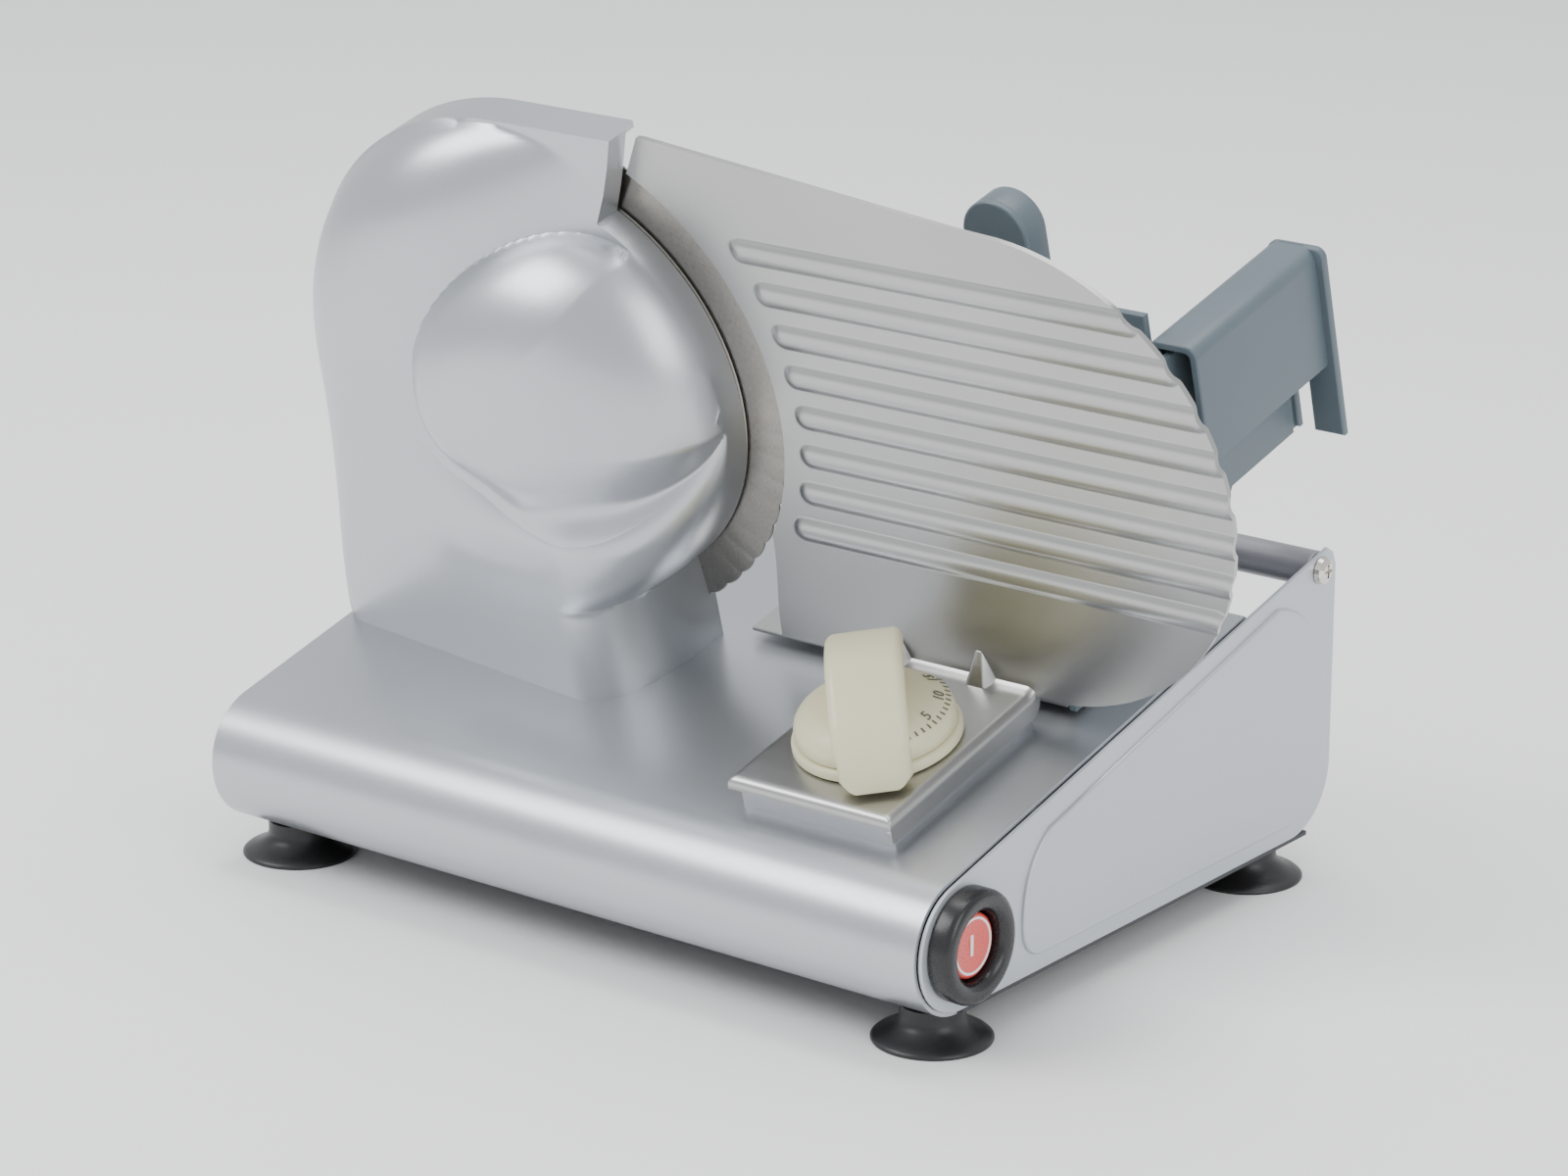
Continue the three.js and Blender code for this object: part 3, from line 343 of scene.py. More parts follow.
FINISH = {
    "painted_silver": coat_of("painted_silver", (0.47, 0.49, 0.52), (0.53, 0.55, 0.58), 0.30, 0.42, 0.85,
                              grain=750, bump=0.16, depth=0.00012, coat=0.25, coat_rough=0.22),
    "panel_silver": coat_of("panel_silver", (0.50, 0.53, 0.57), (0.55, 0.58, 0.62), 0.40, 0.52, 0.55,
                            grain=900, bump=0.12, depth=0.0001, coat=0.15, coat_rough=0.3),
    "bare_aluminium": coat_of("bare_aluminium", (0.40, 0.40, 0.395), (0.50, 0.50, 0.49), 0.26, 0.44, 1.0,
                              grain=900, stretch=(0.04, 1, 1), bump=0.10, depth=0.00005, patch=10),
    "blade_steel": coat_of("blade_steel", (0.24, 0.225, 0.20), (0.42, 0.40, 0.37), 0.24, 0.42, 1.0,
                           tree=LATHE_MARKS, bump=0.35, depth=0.00005),
    "bright_steel": coat_of("bright_steel", (0.45, 0.44, 0.42), (0.55, 0.54, 0.52), 0.22, 0.34, 1.0,
                            grain=1500, stretch=(1, 0.1, 1), bump=0.1, depth=0.00004),
    "nickel": coat_of("nickel", (0.70, 0.66, 0.60), (0.78, 0.74, 0.68), 0.10, 0.18, 1.0, grain=1200,
                      bump=0.03),
    "rod_paint": coat_of("rod_paint", (0.28, 0.28, 0.31), (0.32, 0.32, 0.35), 0.38, 0.5, 0.3, grain=1500,
                         bump=0.1),
    "pan_paint": coat_of("pan_paint", (0.030, 0.033, 0.037), (0.045, 0.048, 0.052), 0.45, 0.6, 0.0,
                         grain=1200, bump=0.3),
    "blue_grey_plastic": coat_of("blue_grey_plastic", (0.088, 0.118, 0.138), (0.108, 0.140, 0.162), 0.36,
                                 0.48,
                                 grain=2400, bump=0.14, depth=0.00008),
    "cream_plastic": coat_of("cream_plastic", (0.66, 0.62, 0.41), (0.72, 0.68, 0.47), 0.34, 0.46,
                             grain=2000, bump=0.1, depth=0.00006, coat=0.1, coat_rough=0.25),
    "black_plastic": coat_of("black_plastic", (0.008, 0.008, 0.009), (0.014, 0.014, 0.015), 0.24, 0.36,
                             grain=2200, bump=0.12, depth=0.00006),
    "black_rubber": coat_of("black_rubber", (0.010, 0.010, 0.011), (0.020, 0.020, 0.021), 0.34, 0.55,
                            grain=1500, bump=0.25, depth=0.0001),
    "red_plastic": coat_of("red_plastic", (0.66, 0.055, 0.045), (0.74, 0.075, 0.06), 0.25, 0.35, grain=1800,
                           bump=0.06,
                           coat=0.3),
    "white_print": coat_of("white_print", (0.86, 0.85, 0.84), (0.92, 0.91, 0.90), 0.35, 0.45, grain=2500,
                           bump=0.05),
    "dark_print": coat_of("dark_print", (0.10, 0.095, 0.07), (0.16, 0.15, 0.11), 0.5, 0.6, grain=2500,
                          bump=0.05),
    "white_nylon": coat_of("white_nylon", (0.70, 0.68, 0.60), (0.76, 0.74, 0.66), 0.42, 0.55, grain=1400,
                           bump=0.1),
    "brass": coat_of("brass", (0.60, 0.42, 0.16), (0.68, 0.48, 0.20), 0.22, 0.35, 1.0, grain=1600, bump=0.08),
}


def dress(piece, body, slot, *nodes, look=None):
    piece.data.materials.clear()
    piece.data.materials.append(FINISH[look or slot])
    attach(piece, body)
    if nodes:
        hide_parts(*nodes)
    return piece


# ---------------------------------------------------------------- blade housing
RIM_R = 100.0            # the shell's outline round the blade
LIP_R = 80.0             # its open side, inside the blade's edge
LIP_DEPTH = 12.0
BASE_W = -101.2          # foot of the shell
EGG_MEAN = 52.4
EGG_COS = (20.2, 7.8, 0.6)
EGG_SIN = (15.9, 3.3, 0.4)
DOME_RISE = 43.0
FOOT_X = 46.0
END_X = 52.0
NOTCH = math.atan2(70, 42)
FOOT_ANGLE = -math.acos(FOOT_X / LIP_R)
TOP_ANGLE = math.atan2(RIM_R, END_X)
WALL = 2.5


def quarter(distance, radius):
    t = 1 - min(max(distance / radius, 0.0), 1.0)
    return math.sqrt(1 - t * t)


def dome_reach(angle):
    reach = EGG_MEAN
    for i in range(3):
        reach += EGG_COS[i] * math.cos((i + 1) * angle) + EGG_SIN[i] * math.sin((i + 1) * angle)
    return min(reach, LIP_R)


def housing_face(x, w):
    """How far the shell stands in front of the blade plane at (x, w), in mm."""
    radius = math.hypot(x, w)
    edge = RIM_R + x
    if w > 0:
        edge = RIM_R - (radius if x < 0 else w)
    shoulder = mix(10, 42, smoothstep(-100, 20, w))
    valley_low = 40 + 0.11 * (x + 85)
    valley_high = 13 + 27 * (1 - smoothstep(-40, 52, x))
    level = mix(valley_low, valley_high, smoothstep(-40, 10, w))
    wall = 5 + (level - 5) * quarter(edge, shoulder)
    if w < 0:
        inward = max(FOOT_X, math.sqrt(max(LIP_R ** 2 - w * w, 0))) - x
        wall = LIP_DEPTH + (wall - LIP_DEPTH) * quarter(inward, mix(24, 70, smoothstep(-70, 0, w)))
    dome = LIP_DEPTH + DOME_RISE * quarter(1 - radius / dome_reach(math.atan2(w, x)), 0.775)
    gap = dome - wall
    soft = 0.6 + 16 * smoothstep(15, -55, w) * smoothstep(2, 30, LIP_R - radius)
    return (dome + wall + math.sqrt(gap * gap + soft * soft)) / 2


def housing_reach(angle):
    """Distance from the blade axis to the shell's edge."""
    c, s = math.cos(angle), math.sin(angle)
    if FOOT_ANGLE <= angle <= NOTCH:
        return LIP_R
    if NOTCH < angle <= TOP_ANGLE:
        return mix(LIP_R, math.hypot(RIM_R, END_X), (angle - NOTCH) / (TOP_ANGLE - NOTCH))
    if TOP_ANGLE < angle <= math.pi / 2:
        return RIM_R / s
    if -math.pi / 2 < angle < FOOT_ANGLE:
        return min(FOOT_X / c, -BASE_W / -s)
    if math.pi / 2 < angle:
        return RIM_R
    side = -RIM_R / c if c < 0 else math.inf
    foot = BASE_W / s if s < 0 else math.inf
    return min(side, foot)


def housing_angles():
    """Turns round the axis, with one landing on every corner of the outline."""
    corners = [-math.pi, math.atan2(BASE_W, -RIM_R), math.atan2(BASE_W, FOOT_X), FOOT_ANGLE, NOTCH,
               TOP_ANGLE, math.pi]
    turns = []
    for a, b in zip(corners, corners[1:]):
        count = max(2, round((b - a) / math.radians(1.1)))
        turns += [mix(a, b, i / count) for i in range(count)]
    return turns


DOME_RINGS = 46          # rings up to the dome's skirt
FACE_RINGS = 84          # rings up to the shell's edge
WALL_RINGS = 6           # rings down the return wall


def housing_mesh():
    """The shell's face in rings round the axis, a return wall to its rear edge, then walled inwards."""
    fresh()
    turns = housing_angles()
    bpy.ops.mesh.primitive_circle_add(vertices=len(turns), radius=1, fill_type="NOTHING")
    shell = bpy.context.object
    bpy.ops.object.mode_set(mode="EDIT")
    bpy.ops.mesh.select_all(action="SELECT")
    for _ in range(FACE_RINGS + WALL_RINGS):
        bpy.ops.mesh.extrude_edges_move(TRANSFORM_OT_translate={"value": (0, 0, 1)})
    bpy.ops.object.mode_set(mode="OBJECT")
    count = len(turns)
    on_rim = []
    for index, vertex in enumerate(shell.data.vertices):
        ring = round(vertex.co.z)
        around = math.atan2(vertex.co.y, vertex.co.x) / (2 * math.pi) * count
        place = round(around) % count
        if ring == 0:
            on_rim.append(index)
        angle = turns[place]
        reach = housing_reach(angle)
        c, s = math.cos(angle), math.sin(angle)
        exposed = FOOT_ANGLE - 0.01 < angle < TOP_ANGLE + 0.01
        rear = -2.7 if exposed else 4.0
        if ring <= FACE_RINGS:
            skirt = min(dome_reach(angle), reach - 1.2)
            if ring <= DOME_RINGS:
                radius = skirt * (0.004 + 0.996 * (1 - (1 - ring / DOME_RINGS) ** 1.6))
            else:
                radius = mix(skirt, reach, ((ring - DOME_RINGS) / (FACE_RINGS - DOME_RINGS)) ** 1.25)
            x, w = radius * c, radius * s
            depth = housing_face(x, w)
            vertex.co = (x, -depth, w)
        else:
            front = -housing_face(reach * c, reach * s)
            drop = (ring - FACE_RINGS) / WALL_RINGS
            vertex.co = (reach * c, mix(front, rear, drop), reach * s)
    bpy.ops.object.mode_set(mode="EDIT")
    bpy.ops.mesh.select_mode(type="EDGE")
    bpy.ops.mesh.select_all(action="DESELECT")
    bpy.ops.object.mode_set(mode="OBJECT")
    inner = set(on_rim)
    for edge in shell.data.edges:
        edge.select = set(edge.vertices) <= inner
    bpy.ops.object.mode_set(mode="EDIT")
    bpy.ops.mesh.edge_face_add()
    bpy.ops.mesh.select_mode(type="VERT")
    bpy.ops.mesh.select_all(action="SELECT")
    bpy.ops.mesh.normals_make_consistent(inside=False)
    bpy.ops.object.mode_set(mode="OBJECT")
    front_face = max(shell.data.polygons, key=lambda face: len(face.vertices))
    offset = -1 if front_face.normal.y < 0 else 1
    apply(shell, "SOLIDIFY", thickness=WALL, offset=offset, use_even_offset=False)
    return finish(shell, "housing_shell", INCLINE, angle=32)


dress(housing_mesh(), "base", "painted_silver", "motor_housing")

# ---------------------------------------------------------------- blade
TEETH = 60
blade_profile = [(14, 1.0), (60, 1.0), (88, 1.0), (92.8, 1.0), (94.7, 1.0), (95, 0.85), (94.6, 0.5),
                 (81.6, -0.98), (81, -1.05), (79.6, -1.1), (79, -1.6),
                 (78.4, -2.1), (73.6, -2.15), (73, -1.7), (72.6, -1.1), (30, -1.0), (14, -1.0)]


def scallop(point):
    radius = math.hypot(point.x, point.y)
    if radius > 93:
        bite = 0.9 * abs(math.sin(math.atan2(point.y, point.x) * TEETH / 2)) ** 0.7
        factor = (radius - 0.9 + bite) / radius
        point.x *= factor
        point.y *= factor
        point.z += 0.12 * (1 - bite)


# The blade is turned about z, so z becomes the slope's y here.
TURN_BACK = INCLINE @ Matrix(((1, 0, 0, 0), (0, 0, 1, 0), (0, -1, 0, 0), (0, 0, 0, 1)))
disc = turned("blade_disc", blade_profile, TURN_BACK, steps=TEETH * 12, angle=28, shape=scallop)
dress(disc, "blade_assembly", "blade_steel", "blade")

# ---------------------------------------------------------------- guide plate
PLATE_X = 189.0
PLATE_R = 87.0
PLATE_W = -3.0
COVER_LOW = -89.3
PLATE_TOP = 98.0
CUT_R = 96.5


def plate_left(w):
    if w > 84:
        return mix(49, 56, (w - 84) / (PLATE_TOP - 84))
    if w > -CUT_R * 0.5:
        return math.sqrt(max(CUT_R * CUT_R - w * w, 0))
    start = CUT_R * math.cos(math.radians(30))
    return mix(start, start - 4, smoothstep(-CUT_R * 0.5, COVER_LOW, w))


def plate_right(w):
    top = PLATE_W + PLATE_R
    if w > top - 0.2:
        slope = (PLATE_TOP - top) / (PLATE_X - 56)
        return 56 + (PLATE_TOP - w) / slope if slope else PLATE_X
    return PLATE_X + math.sqrt(max(PLATE_R ** 2 - (w - PLATE_W) ** 2, 0))


def ribs_height(x, w):
    height = 0.0
    for i in range(8):
        middle = 62 - 15 * i
        if abs(w - middle) > 7:
            continue
        lag = 0.12 * (middle - 20) if middle > 20 else 0
        start = math.sqrt(max(105 ** 2 - middle * middle, 0)) + lag + 3
        end = plate_right(middle) - 1.2
        beyond = max(start - x, x - end, 0)
        away = math.hypot(w - middle, beyond) / 4.6
        height = max(height, 1.6 * (1 - smoothstep(0.25, 1.0, away)))
    return height


def guide_face(u, t):
    w = mix(COVER_LOW, 84, t / 0.93) if t < 0.93 else mix(84, PLATE_TOP - 0.3, (t - 0.93) / 0.07)
    left, right = plate_left(w), plate_right(w)
    x = mix(left, right, u)
    return x, -1.0 - ribs_height(x, w), w


plate = pressed("plate_face", 170, 220, guide_face, 2.0, INCLINE, outward=-1, angle=50)

COVER_TOP = -87.3
FRONT_V = -87.2


def cover_section():
    """Across the foot: down at the left, over the top, down at the right, as (x, drop)."""
    return ([(119.6, 4.0)] + [(x, 2.5 - y) for x, y in arc(122.1, 0, 2.5, 180, 90, 6)]
            + [(x, 3 - y) for x, y in arc(183.4, 0, 3, 90, 0, 6)] + [(186.4, 9.0)])


def foot_run():
    """From the rolled front lip over the top and up the fillet into the plate, as (v, drop)."""
    return ([(FRONT_V, 4.2)] + [(v, 3 - y) for v, y in arc(FRONT_V + 3, 0, 3, 180, 90, 8)]
            + [(v, -6 - y) for v, y in arc(-7.0, 0, 6, -90, 0, 8)])


ACROSS = cover_section()
AHEAD = foot_run()


def foot_face(u, t):
    x, drop = walk(ACROSS, u)
    v, fall = walk(AHEAD, t)
    return x, v, COVER_TOP - (max(drop, fall) if fall > 0 else drop + fall)


foot = pressed("plate_foot", 90, 110, foot_face, 1.8, INCLINE, merge=0.02, outward=1, angle=45)


def gusset(x):
    """A pressed horn that stiffens the bend between foot and plate."""
    fresh()
    bpy.ops.mesh.primitive_cube_add(size=1, location=(x, -4.6, COVER_TOP + 5.5))
    horn = bpy.context.object
    horn.scale = (15, 7.6, 12)
    bpy.ops.object.transform_apply(location=True, rotation=False, scale=True)
    for vertex in horn.data.vertices:
        if vertex.co.z > COVER_TOP + 5:
            vertex.co.x = mix(x, vertex.co.x, 0.2)
            vertex.co.y = max(vertex.co.y, -3.0)
        elif vertex.co.y < -5:
            vertex.co.x = mix(x, vertex.co.x, 0.5)
    apply(horn, "BEVEL", width=0.8, segments=3)
    return finish(horn, "gusset", INCLINE)


plate = joined("guide_plate_sheet", plate, foot, gusset(130), gusset(165))
dress(plate, "guide", "bare_aluminium", "guide_plate")

# ---------------------------------------------------------------- knob and dial
KNOB = INCLINE @ Matrix.Translation((153, -47, 0)) @ Matrix.Rotation(math.radians(36), 4, "Z")
SIDEWAYS = Matrix(((0, 0, 1, 0), (1, 0, 0, 0), (0, 1, 0, 0), (0, 0, 0, 1)))
RING_LOW = -87.0
DOME_LOW = -82.7
GRIP_TOP = -51.0


def bend_to(points, control, end, steps=10):
    """Adds a curve to the last point, by way of a control point."""
    start = points[-1]
    for i in range(1, steps + 1):
        t = i / steps
        points.append(tuple(mix(mix(a, b, t), mix(b, c, t), t) for a, b, c in zip(start, control, end)))


def grip_outline():
    points = [(-29.6, DOME_LOW - 2.6), (-37.4, DOME_LOW - 2.6)]
    bend_to(points, (-38.2, DOME_LOW + 14), (-23.6, DOME_LOW + 22))
    bend_to(points, (-11.4, GRIP_TOP), (0, GRIP_TOP))
    bend_to(points, (16, GRIP_TOP), (19, GRIP_TOP - 9))
    bend_to(points, (22.8, DOME_LOW + 14), (22.8, DOME_LOW + 6))
    return points + [(20, DOME_LOW + 1), (-29.6, DOME_LOW + 1)]


ring = turned("dial_base", [(1, RING_LOW), (28.2, RING_LOW), (28.8, RING_LOW + 0.5), (28.8, RING_LOW + 2.6),
                            (28.4, RING_LOW + 3.4), (27.6, RING_LOW + 3.9), (1, RING_LOW + 4)], KNOB,
                            steps=96)
dress(ring, "thickness_knob", "cream_plastic", "dial_ring")
dome = turned("dial_dome", [(1, DOME_LOW), (27.0, DOME_LOW), (27.4, DOME_LOW + 0.4), (27.3, DOME_LOW + 3.2),
                            (26.8, DOME_LOW + 5.2), (25.6, DOME_LOW + 7), (23.6, DOME_LOW + 8.6),
                            (20.6, DOME_LOW + 10), (16, DOME_LOW + 11.1), (9, DOME_LOW + 11.8),
                            (1, DOME_LOW + 12)], KNOB, steps=96, angle=50)
grip = slab("grip", grip_outline(), -13, 13, Matrix.Identity(4), rounding=3.4, soft=7, angle=50)


def round_ends(point):
    """Draws the grip's sides in towards both of its ends."""
    beyond = max((-27.5 - point.x) / 11.5, (point.x - 10) / 13.5, 0.0)
    point.z *= math.sqrt(max(1 - 0.72 * min(beyond, 1) ** 2.2, 0.05))


for vertex in grip.data.vertices:
    round_ends(vertex.co)
finish(grip, "grip", KNOB @ SIDEWAYS, angle=50)
dress(joined("knob_grip", dome, grip), "thickness_knob", "cream_plastic", "knob")


def dial_mark(height, radius, degrees, text=None):
    """A printed figure or tick that lies on the dome's shoulder."""
    tilt = math.radians(27)
    if text:
        curve = bpy.data.curves.new("figure", "FONT")
        curve.body = text
        curve.size = 5.4
        curve.extrude = 0.12
        curve.align_x = curve.align_y = "CENTER"
        mark = bpy.data.objects.new("figure", curve)
        bpy.context.collection.objects.link(mark)
        fresh()
        mark.select_set(True)
        bpy.context.view_layer.objects.active = mark
        bpy.ops.object.convert(target="MESH")
        mark = bpy.context.object
        spin = Matrix.Rotation(math.radians(90), 4, "Z")
    else:
        fresh()
        bpy.ops.mesh.primitive_cube_add(size=1)
        mark = bpy.context.object
        mark.scale = (2.0, 0.5, 0.24)
        bpy.ops.object.transform_apply(location=False, rotation=False, scale=True)
        spin = Matrix.Identity(4)
    place = (Matrix.Rotation(math.radians(degrees), 4, "Z") @ Matrix.Translation((radius, 0, height))
             @ Matrix.Rotation(tilt, 4, "Y") @ spin)
    return finish(mark, "figure", KNOB @ place)


marks = [dial_mark(DOME_LOW + 9.35, 22.4, -68 + 32 * i, str(5 * i)) for i in range(4)]
marks += [dial_mark(DOME_LOW + 7.6, 25.2, -68 + 6.4 * i) for i in range(16)]
dress(joined("dial_print", *marks), "thickness_knob", "cream_plastic", look="dark_print")

# ---------------------------------------------------------------- base
BASE_MIDDLE = (low("side_panel_left").x + high("side_panel_right").x) / 2
BASE_Y = low("side_panel_left").y + 83.7 * MM
BASE = Matrix.Translation((BASE_MIDDLE, BASE_Y, 0)) @ Matrix.Scale(MM, 4)
BASE_SIDE = BASE @ SIDEWAYS
HALF = 155.5
BOTTOM = 15.1
NOSE_Y = -61.4
NOSE_R = 22.3
NOSE_Z = BOTTOM + NOSE_R
PLANE_Z = (high("side_panel_right").z / MM) - 154 * math.tan(SLOPE)
REAR_Y = 160.0


def top_at(y):
    return PLANE_Z + y * math.tan(SLOPE)


def nose(inset, steps=24):
    return arc(NOSE_Y, NOSE_Z, NOSE_R - inset, 90 + math.degrees(SLOPE), 270, steps)


def panel_outline():
    return (arc(REAR_Y - 24, BOTTOM + 24, 24, -90, 0, 14)
            + [(REAR_Y, top_at(REAR_Y) - 9), (REAR_Y - 2, top_at(REAR_Y) - 4),
               (REAR_Y - 6, top_at(REAR_Y - 6))]
            + nose(0))


def field_outline():
    foot_z = BOTTOM + 6
    front = NOSE_Y + 33
    rear = REAR_Y - 5
    points = [(front + 12, foot_z), (rear - 20, foot_z)]
    bend_to(points, (rear, foot_z + 4), (rear, foot_z + 26))
    bend_to(points, (rear, top_at(rear) - 20), (rear - 32, top_at(rear - 32) - 6))
    points.append((front + 15, top_at(front + 15) - 9))
    bend_to(points, (front, top_at(front) - 14), (front, foot_z + 14))
    bend_to(points, (front, foot_z), (front + 12, foot_z))
    return points[:-1]


def bored(piece, x, y, z, radius):
    """Cuts a round hole along x through a side piece of the base."""
    fresh()
    centre = BASE @ Vector((x, y, z))
    bpy.ops.mesh.primitive_cylinder_add(vertices=48, radius=radius * MM, depth=0.03, location=centre,
                                        rotation=(0, math.pi / 2, 0))
    drill = bpy.context.object
    cutter = piece.modifiers.new("Bore", "BOOLEAN")
    cutter.operation = "DIFFERENCE"
    cutter.object = drill
    cutter.solver = "EXACT"
    bpy.context.view_layer.objects.active = piece
    bpy.ops.object.modifier_apply(modifier="Bore")
    bpy.data.objects.remove(drill)
    return piece


for side, name in ((-1, "side_panel_left"), (1, "side_panel_right")):
    outer = side * HALF
    sheet = slab("panel", panel_outline(), min(outer, outer - side * 1.5), max(outer, outer - side * 1.5),
                 BASE_SIDE, rounding=0.5)
    near, far = outer - side * 0.9, outer + side * 1.2
    field = slab("field", field_outline(), min(near, far), max(near, far), BASE_SIDE, rounding=1.0, soft=6)
    panel = joined(name + "_sheet", sheet, field)
    if side > 0:
        bored(panel, outer, NOSE_Y, 38.5, 14.2)
    dress(panel, "base", "painted_silver", name, look="panel_silver")

COVER_RUN = [(105, BOTTOM + 1.8), (105, top_at(105) - 2)]
COVER_RUN += arc(103, top_at(103) - 2.2, 2, 0, 90, 4)[1:] + nose(0)


def cover_face(u, t):
    y, z = COVER_RUN[min(int(u * (len(COVER_RUN) - 1) + 0.5), len(COVER_RUN) - 1)]
    return mix(-HALF + 1.8, HALF - 1.8, t), y, z


cover = pressed("base_cover_sheet", len(COVER_RUN) - 1, 40, cover_face, 1.5, BASE, outward=-1, angle=30)
dress(cover, "base", "painted_silver", "base_cover")

FOOT_PROFILE = [(1, 2.4), (13, 2.2), (15.8, 1.2), (17.4, 0.02), (20.2, 0.02), (20.4, 0.4), (20.4, 0.9),
                (19.4, 1.8),
                (17.2, 2.7), (14.8, 3.8), (12.9, 5.2), (11.6, 6.6), (11, 8.2), (11, 12.6), (1, 12.6)]
for where in ("front_left", "front_right", "rear_left", "rear_right"):
    middle = (low("foot_" + where) + high("foot_" + where)) / 2
    place = Matrix.Translation((middle.x, middle.y, 0)) @ Matrix.Scale(MM, 4)
    cup = turned("suction_" + where, FOOT_PROFILE, place, steps=72, angle=50)
    dress(cup, "base", "black_rubber", "foot_" + where)

ROD = (low("carriage_rod") + high("carriage_rod")) / 2
ROD_HALF = (high("carriage_rod").x - low("carriage_rod").x) / 2 / MM
ROD_PLACE = Matrix.Translation(ROD) @ Matrix.Scale(MM, 4) @ SIDEWAYS
rod = turned("rod_bar", [(5.9, -ROD_HALF), (6.5, -ROD_HALF + 0.6), (6.5, ROD_HALF - 0.6), (5.9, ROD_HALF)],
             ROD_PLACE)
dress(rod, "base", "rod_paint", "carriage_rod")

# ---------------------------------------------------------------- switch
SWITCH = BASE @ Matrix.Translation((0, NOSE_Y, 38.5)) @ SIDEWAYS


def hoop(name, profile, matrix, steps=72, angle=35):
    """A ring turned from a closed profile of (radius, z)."""
    fresh()
    radius, z = profile[0]
    bpy.ops.mesh.primitive_circle_add(vertices=steps, radius=radius, fill_type="NOTHING")
    piece = bpy.context.object
    for vertex in piece.data.vertices:
        vertex.co.z = z
    bpy.ops.object.mode_set(mode="EDIT")
    bpy.ops.mesh.select_all(action="SELECT")
    for next_radius, next_z in profile[1:] + profile[:1]:
        bpy.ops.mesh.extrude_edges_move(TRANSFORM_OT_translate={"value": (0, 0, next_z - z)})
        factor = next_radius / radius
        bpy.ops.transform.resize(value=(factor, factor, 1), center_override=(0, 0, next_z))
        radius, z = next_radius, next_z
    bpy.ops.mesh.select_all(action="SELECT")
    bpy.ops.mesh.remove_doubles(threshold=0.002)
    bpy.ops.object.mode_set(mode="OBJECT")
    return finish(piece, name, matrix, angle)


bezel = hoop("bezel_ring", [(12, 147.5), (13.8, 147.5), (13.8, 155.8), (19.0, 155.8), (19.4, 156.2),
                            (19.4, 161.4),
                            (18.9, 162.8), (17.8, 163.7), (16.8, 163.9), (14.6, 163.8), (13.2, 163.1),
                            (12.2, 161.4), (12, 160)], SWITCH)
dress(bezel, "base", "black_plastic", "switch_bezel")
button = turned("button_cap", [(1, 146.9), (11.2, 146.9), (11.2, 158.6), (10.9, 159.4), (10.2, 159.9),
                               (8.6, 159.7),
                               (5, 159.2), (1, 159.0)], SWITCH, angle=50)
dress(button, "button", "red_plastic", "switch_button")
print_ring = hoop("print_ring", [(8.9, 159.7), (9.7, 159.8), (9.7, 160.02), (8.9, 159.95)], SWITCH)
print_bar = block("print_bar", (-0.7, -3.6, 159.0), (0.7, 3.6, 159.5), SWITCH, rounding=0.1)
dress(joined("button_print", print_ring, print_bar), "button", "red_plastic", look="white_print")

# ---------------------------------------------------------------- food pusher
LEFT, OUT = 186.3, 206.3
UPPER, LOWER, SKIRT = 1.5, -71.5, -43.5
channel_outline = ([(LEFT, LOWER)] + arc(LEFT + 5, UPPER - 5, 5, 180, 90, 8)
                   + arc(OUT - 5, UPPER - 5, 5, 90, 0, 8)
                   + [(OUT, SKIRT), (OUT - 3, SKIRT)] + arc(OUT - 5.2, UPPER - 5.2, 2.2, 0, 90, 5)
                   + arc(LEFT + 5.2, UPPER - 5.2, 2.2, 90, 180, 5) + [(LEFT + 3, LOWER)])
channel = slab("channel", channel_outline, -162, -84, FACE, rounding=0.9)
flange_outline = ([(LEFT, LOWER)] + arc(LEFT + 4, UPPER - 4, 4, 180, 90, 6)
                  + arc(OUT - 1, UPPER - 4, 4, 90, 0, 6)
                  + [(OUT + 3, LOWER), (197, LOWER), (197, UPPER - 4), (190.8, UPPER - 4), (190.8, LOWER)])
flange = slab("flange", flange_outline, -163, -159.6, FACE, rounding=1.0)
HOOD_X, HOOD_R, HOOD_TOP = 129.0, 13.0, 43.5
press_outline = ([(100, -94)] + [(100, 4.5)] + arc(106, 4.5, 6, 180, 90, 6) + [(HOOD_X - HOOD_R, 10.5)]
                 + arc(HOOD_X, HOOD_TOP - HOOD_R, HOOD_R, 180, 0, 18)
                 + [(HOOD_X + HOOD_R, 10.5), (187.3, 10.5)]
                 + [(187.3, -94)])
press = slab("press", press_outline, -87, -84, FACE, rounding=1.0)
band = ([(HOOD_X - HOOD_R, 10)] + arc(HOOD_X, HOOD_TOP - HOOD_R, HOOD_R, 180, 0, 18) + [(HOOD_X + HOOD_R, 10)]
        + [(HOOD_X + HOOD_R - 2.2, 10)] + arc(HOOD_X, HOOD_TOP - HOOD_R, HOOD_R - 2.2, 0, 180, 18)
        + [(HOOD_X - HOOD_R + 2.2, 10)])
rim = slab("hood_rim", band, -97, -86, FACE, rounding=0.7)
dress(joined("pusher_moulding", channel, flange, press, rim), "pusher", "blue_grey_plastic", "food_pusher")

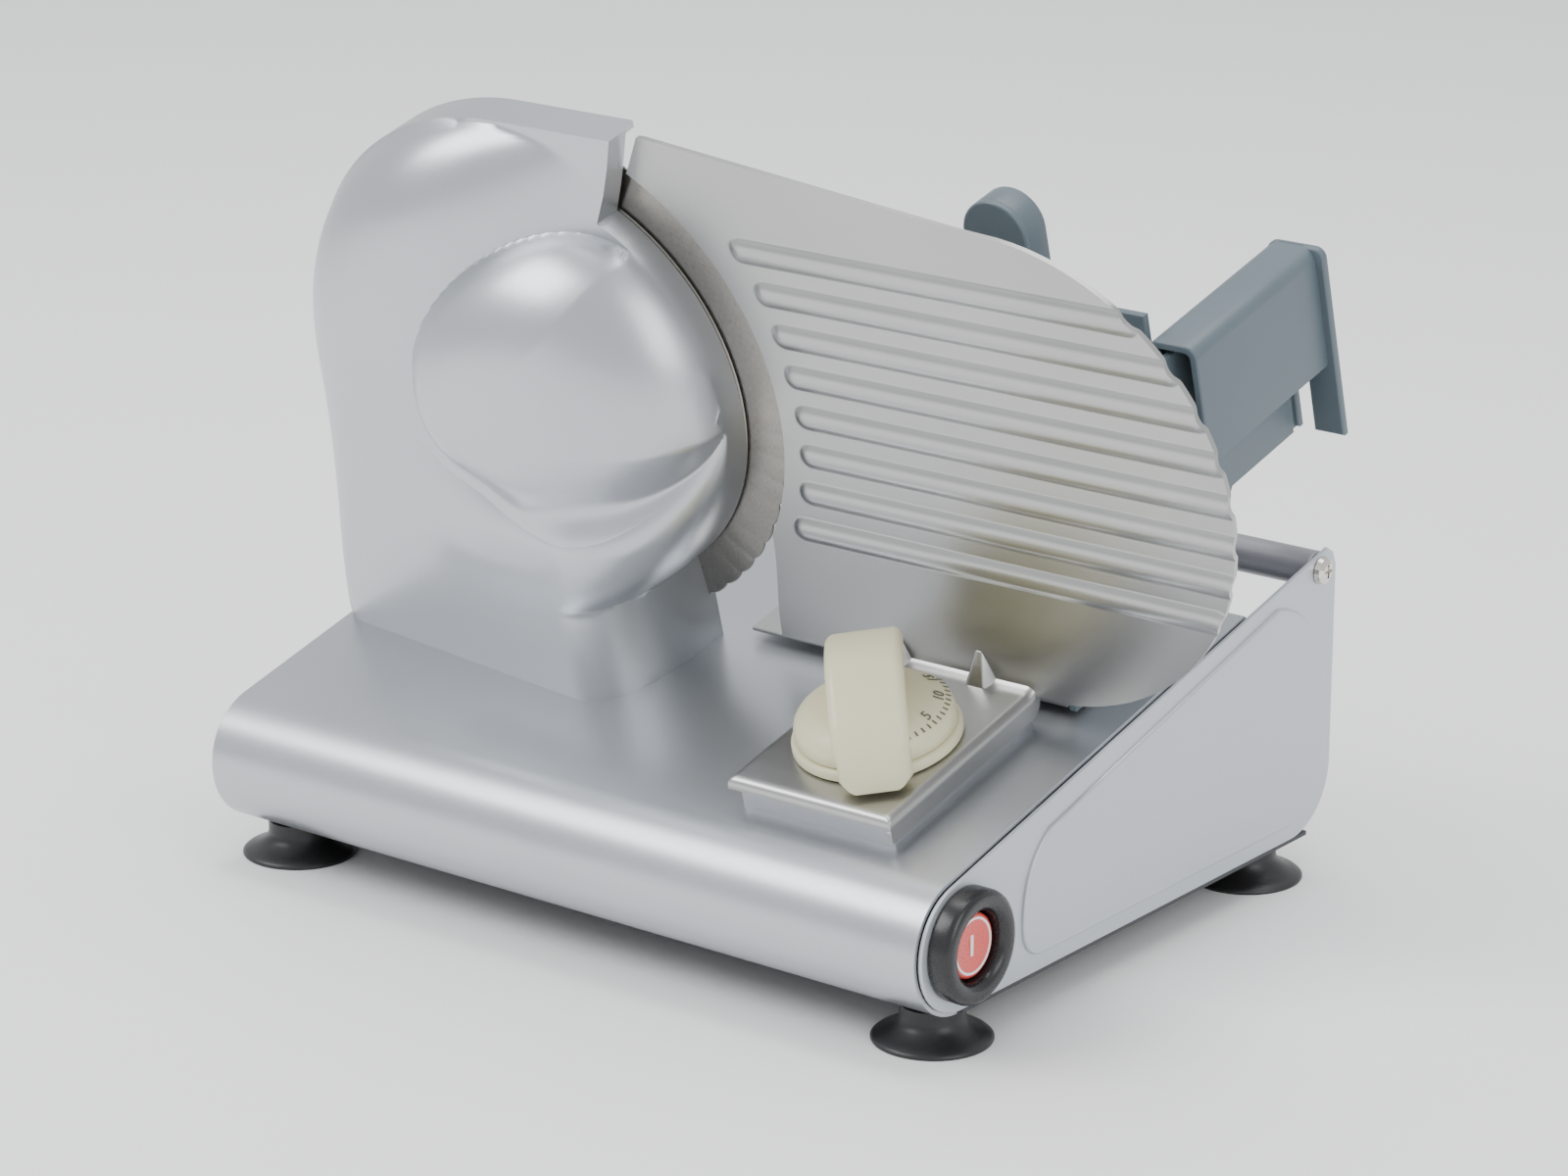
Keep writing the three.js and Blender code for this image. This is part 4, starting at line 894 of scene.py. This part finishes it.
# ---------------------------------------------------------------- what keeps its own mesh
SLOT = {part["node"]: part["material_slot"] for part in frame["record"]["subparts"]}
REPLACED = {"motor_housing", "blade", "guide_plate", "dial_ring", "knob", "side_panel_left",
            "side_panel_right",
            "base_cover", "foot_front_left", "foot_front_right", "foot_rear_left", "foot_rear_right",
            "carriage_rod",
            "switch_bezel", "switch_button", "food_pusher"}
for node, piece in frame["nodes"].items():
    if node in REPLACED:
        continue
    piece.data.materials.clear()
    piece.data.materials.append(FINISH[SLOT[node]])
    weld = piece.modifiers.new("Weld", "WELD")
    weld.merge_threshold = 0.00002
    soften = piece.modifiers.new("Bevel", "BEVEL")
    soften.width = 0.0004
    soften.segments = 2
    soften.limit_method = "ANGLE"
    soften.angle_limit = math.radians(40)

# ---------------------------------------------------------------- floor, light and camera
fresh()
bpy.ops.mesh.primitive_plane_add(size=16, location=(0, 0, 0))
floor = bpy.context.object
floor.name = "studio_floor"
ground = coat_of("studio_paper", (0.93, 0.93, 0.93), (0.95, 0.95, 0.95), 0.55, 0.65, 0.0, grain=300,
                 bump=0.02)
floor.data.materials.append(ground)

world = bpy.data.worlds.new("studio")
world.use_nodes = True
world.node_tree.nodes["Background"].inputs["Color"].default_value = (0.93, 0.95, 0.97, 1)
world.node_tree.nodes["Background"].inputs["Strength"].default_value = 1.0
bpy.context.scene.world = world


def softbox(name, place, aim, width, height, power):
    light = bpy.data.lights.new(name, "AREA")
    light.shape = "RECTANGLE"
    light.size, light.size_y, light.energy = width, height, power
    lamp = bpy.data.objects.new(name, light)
    bpy.context.collection.objects.link(lamp)
    lamp.location = place
    lamp.rotation_euler = (Vector(aim) - Vector(place)).to_track_quat("-Z", "Y").to_euler()
    return lamp


softbox("key", (-1.0, -1.2, 1.6), (0, 0, 0.1), 1.3, 1.0, 26)
softbox("fill", (1.7, -0.4, 0.9), (0, 0, 0.1), 0.9, 1.2, 10)
softbox("top", (0.0, 0.3, 1.7), (0, 0, 0), 1.4, 0.9, 18)

eye = bpy.data.cameras.new("view")
eye.lens = 118.78
eye.sensor_width = 36
eye.clip_start, eye.clip_end = 0.05, 50
camera = bpy.data.objects.new("view", eye)
bpy.context.collection.objects.link(camera)
station = BLADE + Vector((1.11666, -1.31737, 0.47643))
target = BLADE + Vector((0.07436, 0.02782, -0.07297))
camera.location = station
camera.rotation_euler = (target - station).to_track_quat("-Z", "Y").to_euler()
bpy.context.scene.camera = camera

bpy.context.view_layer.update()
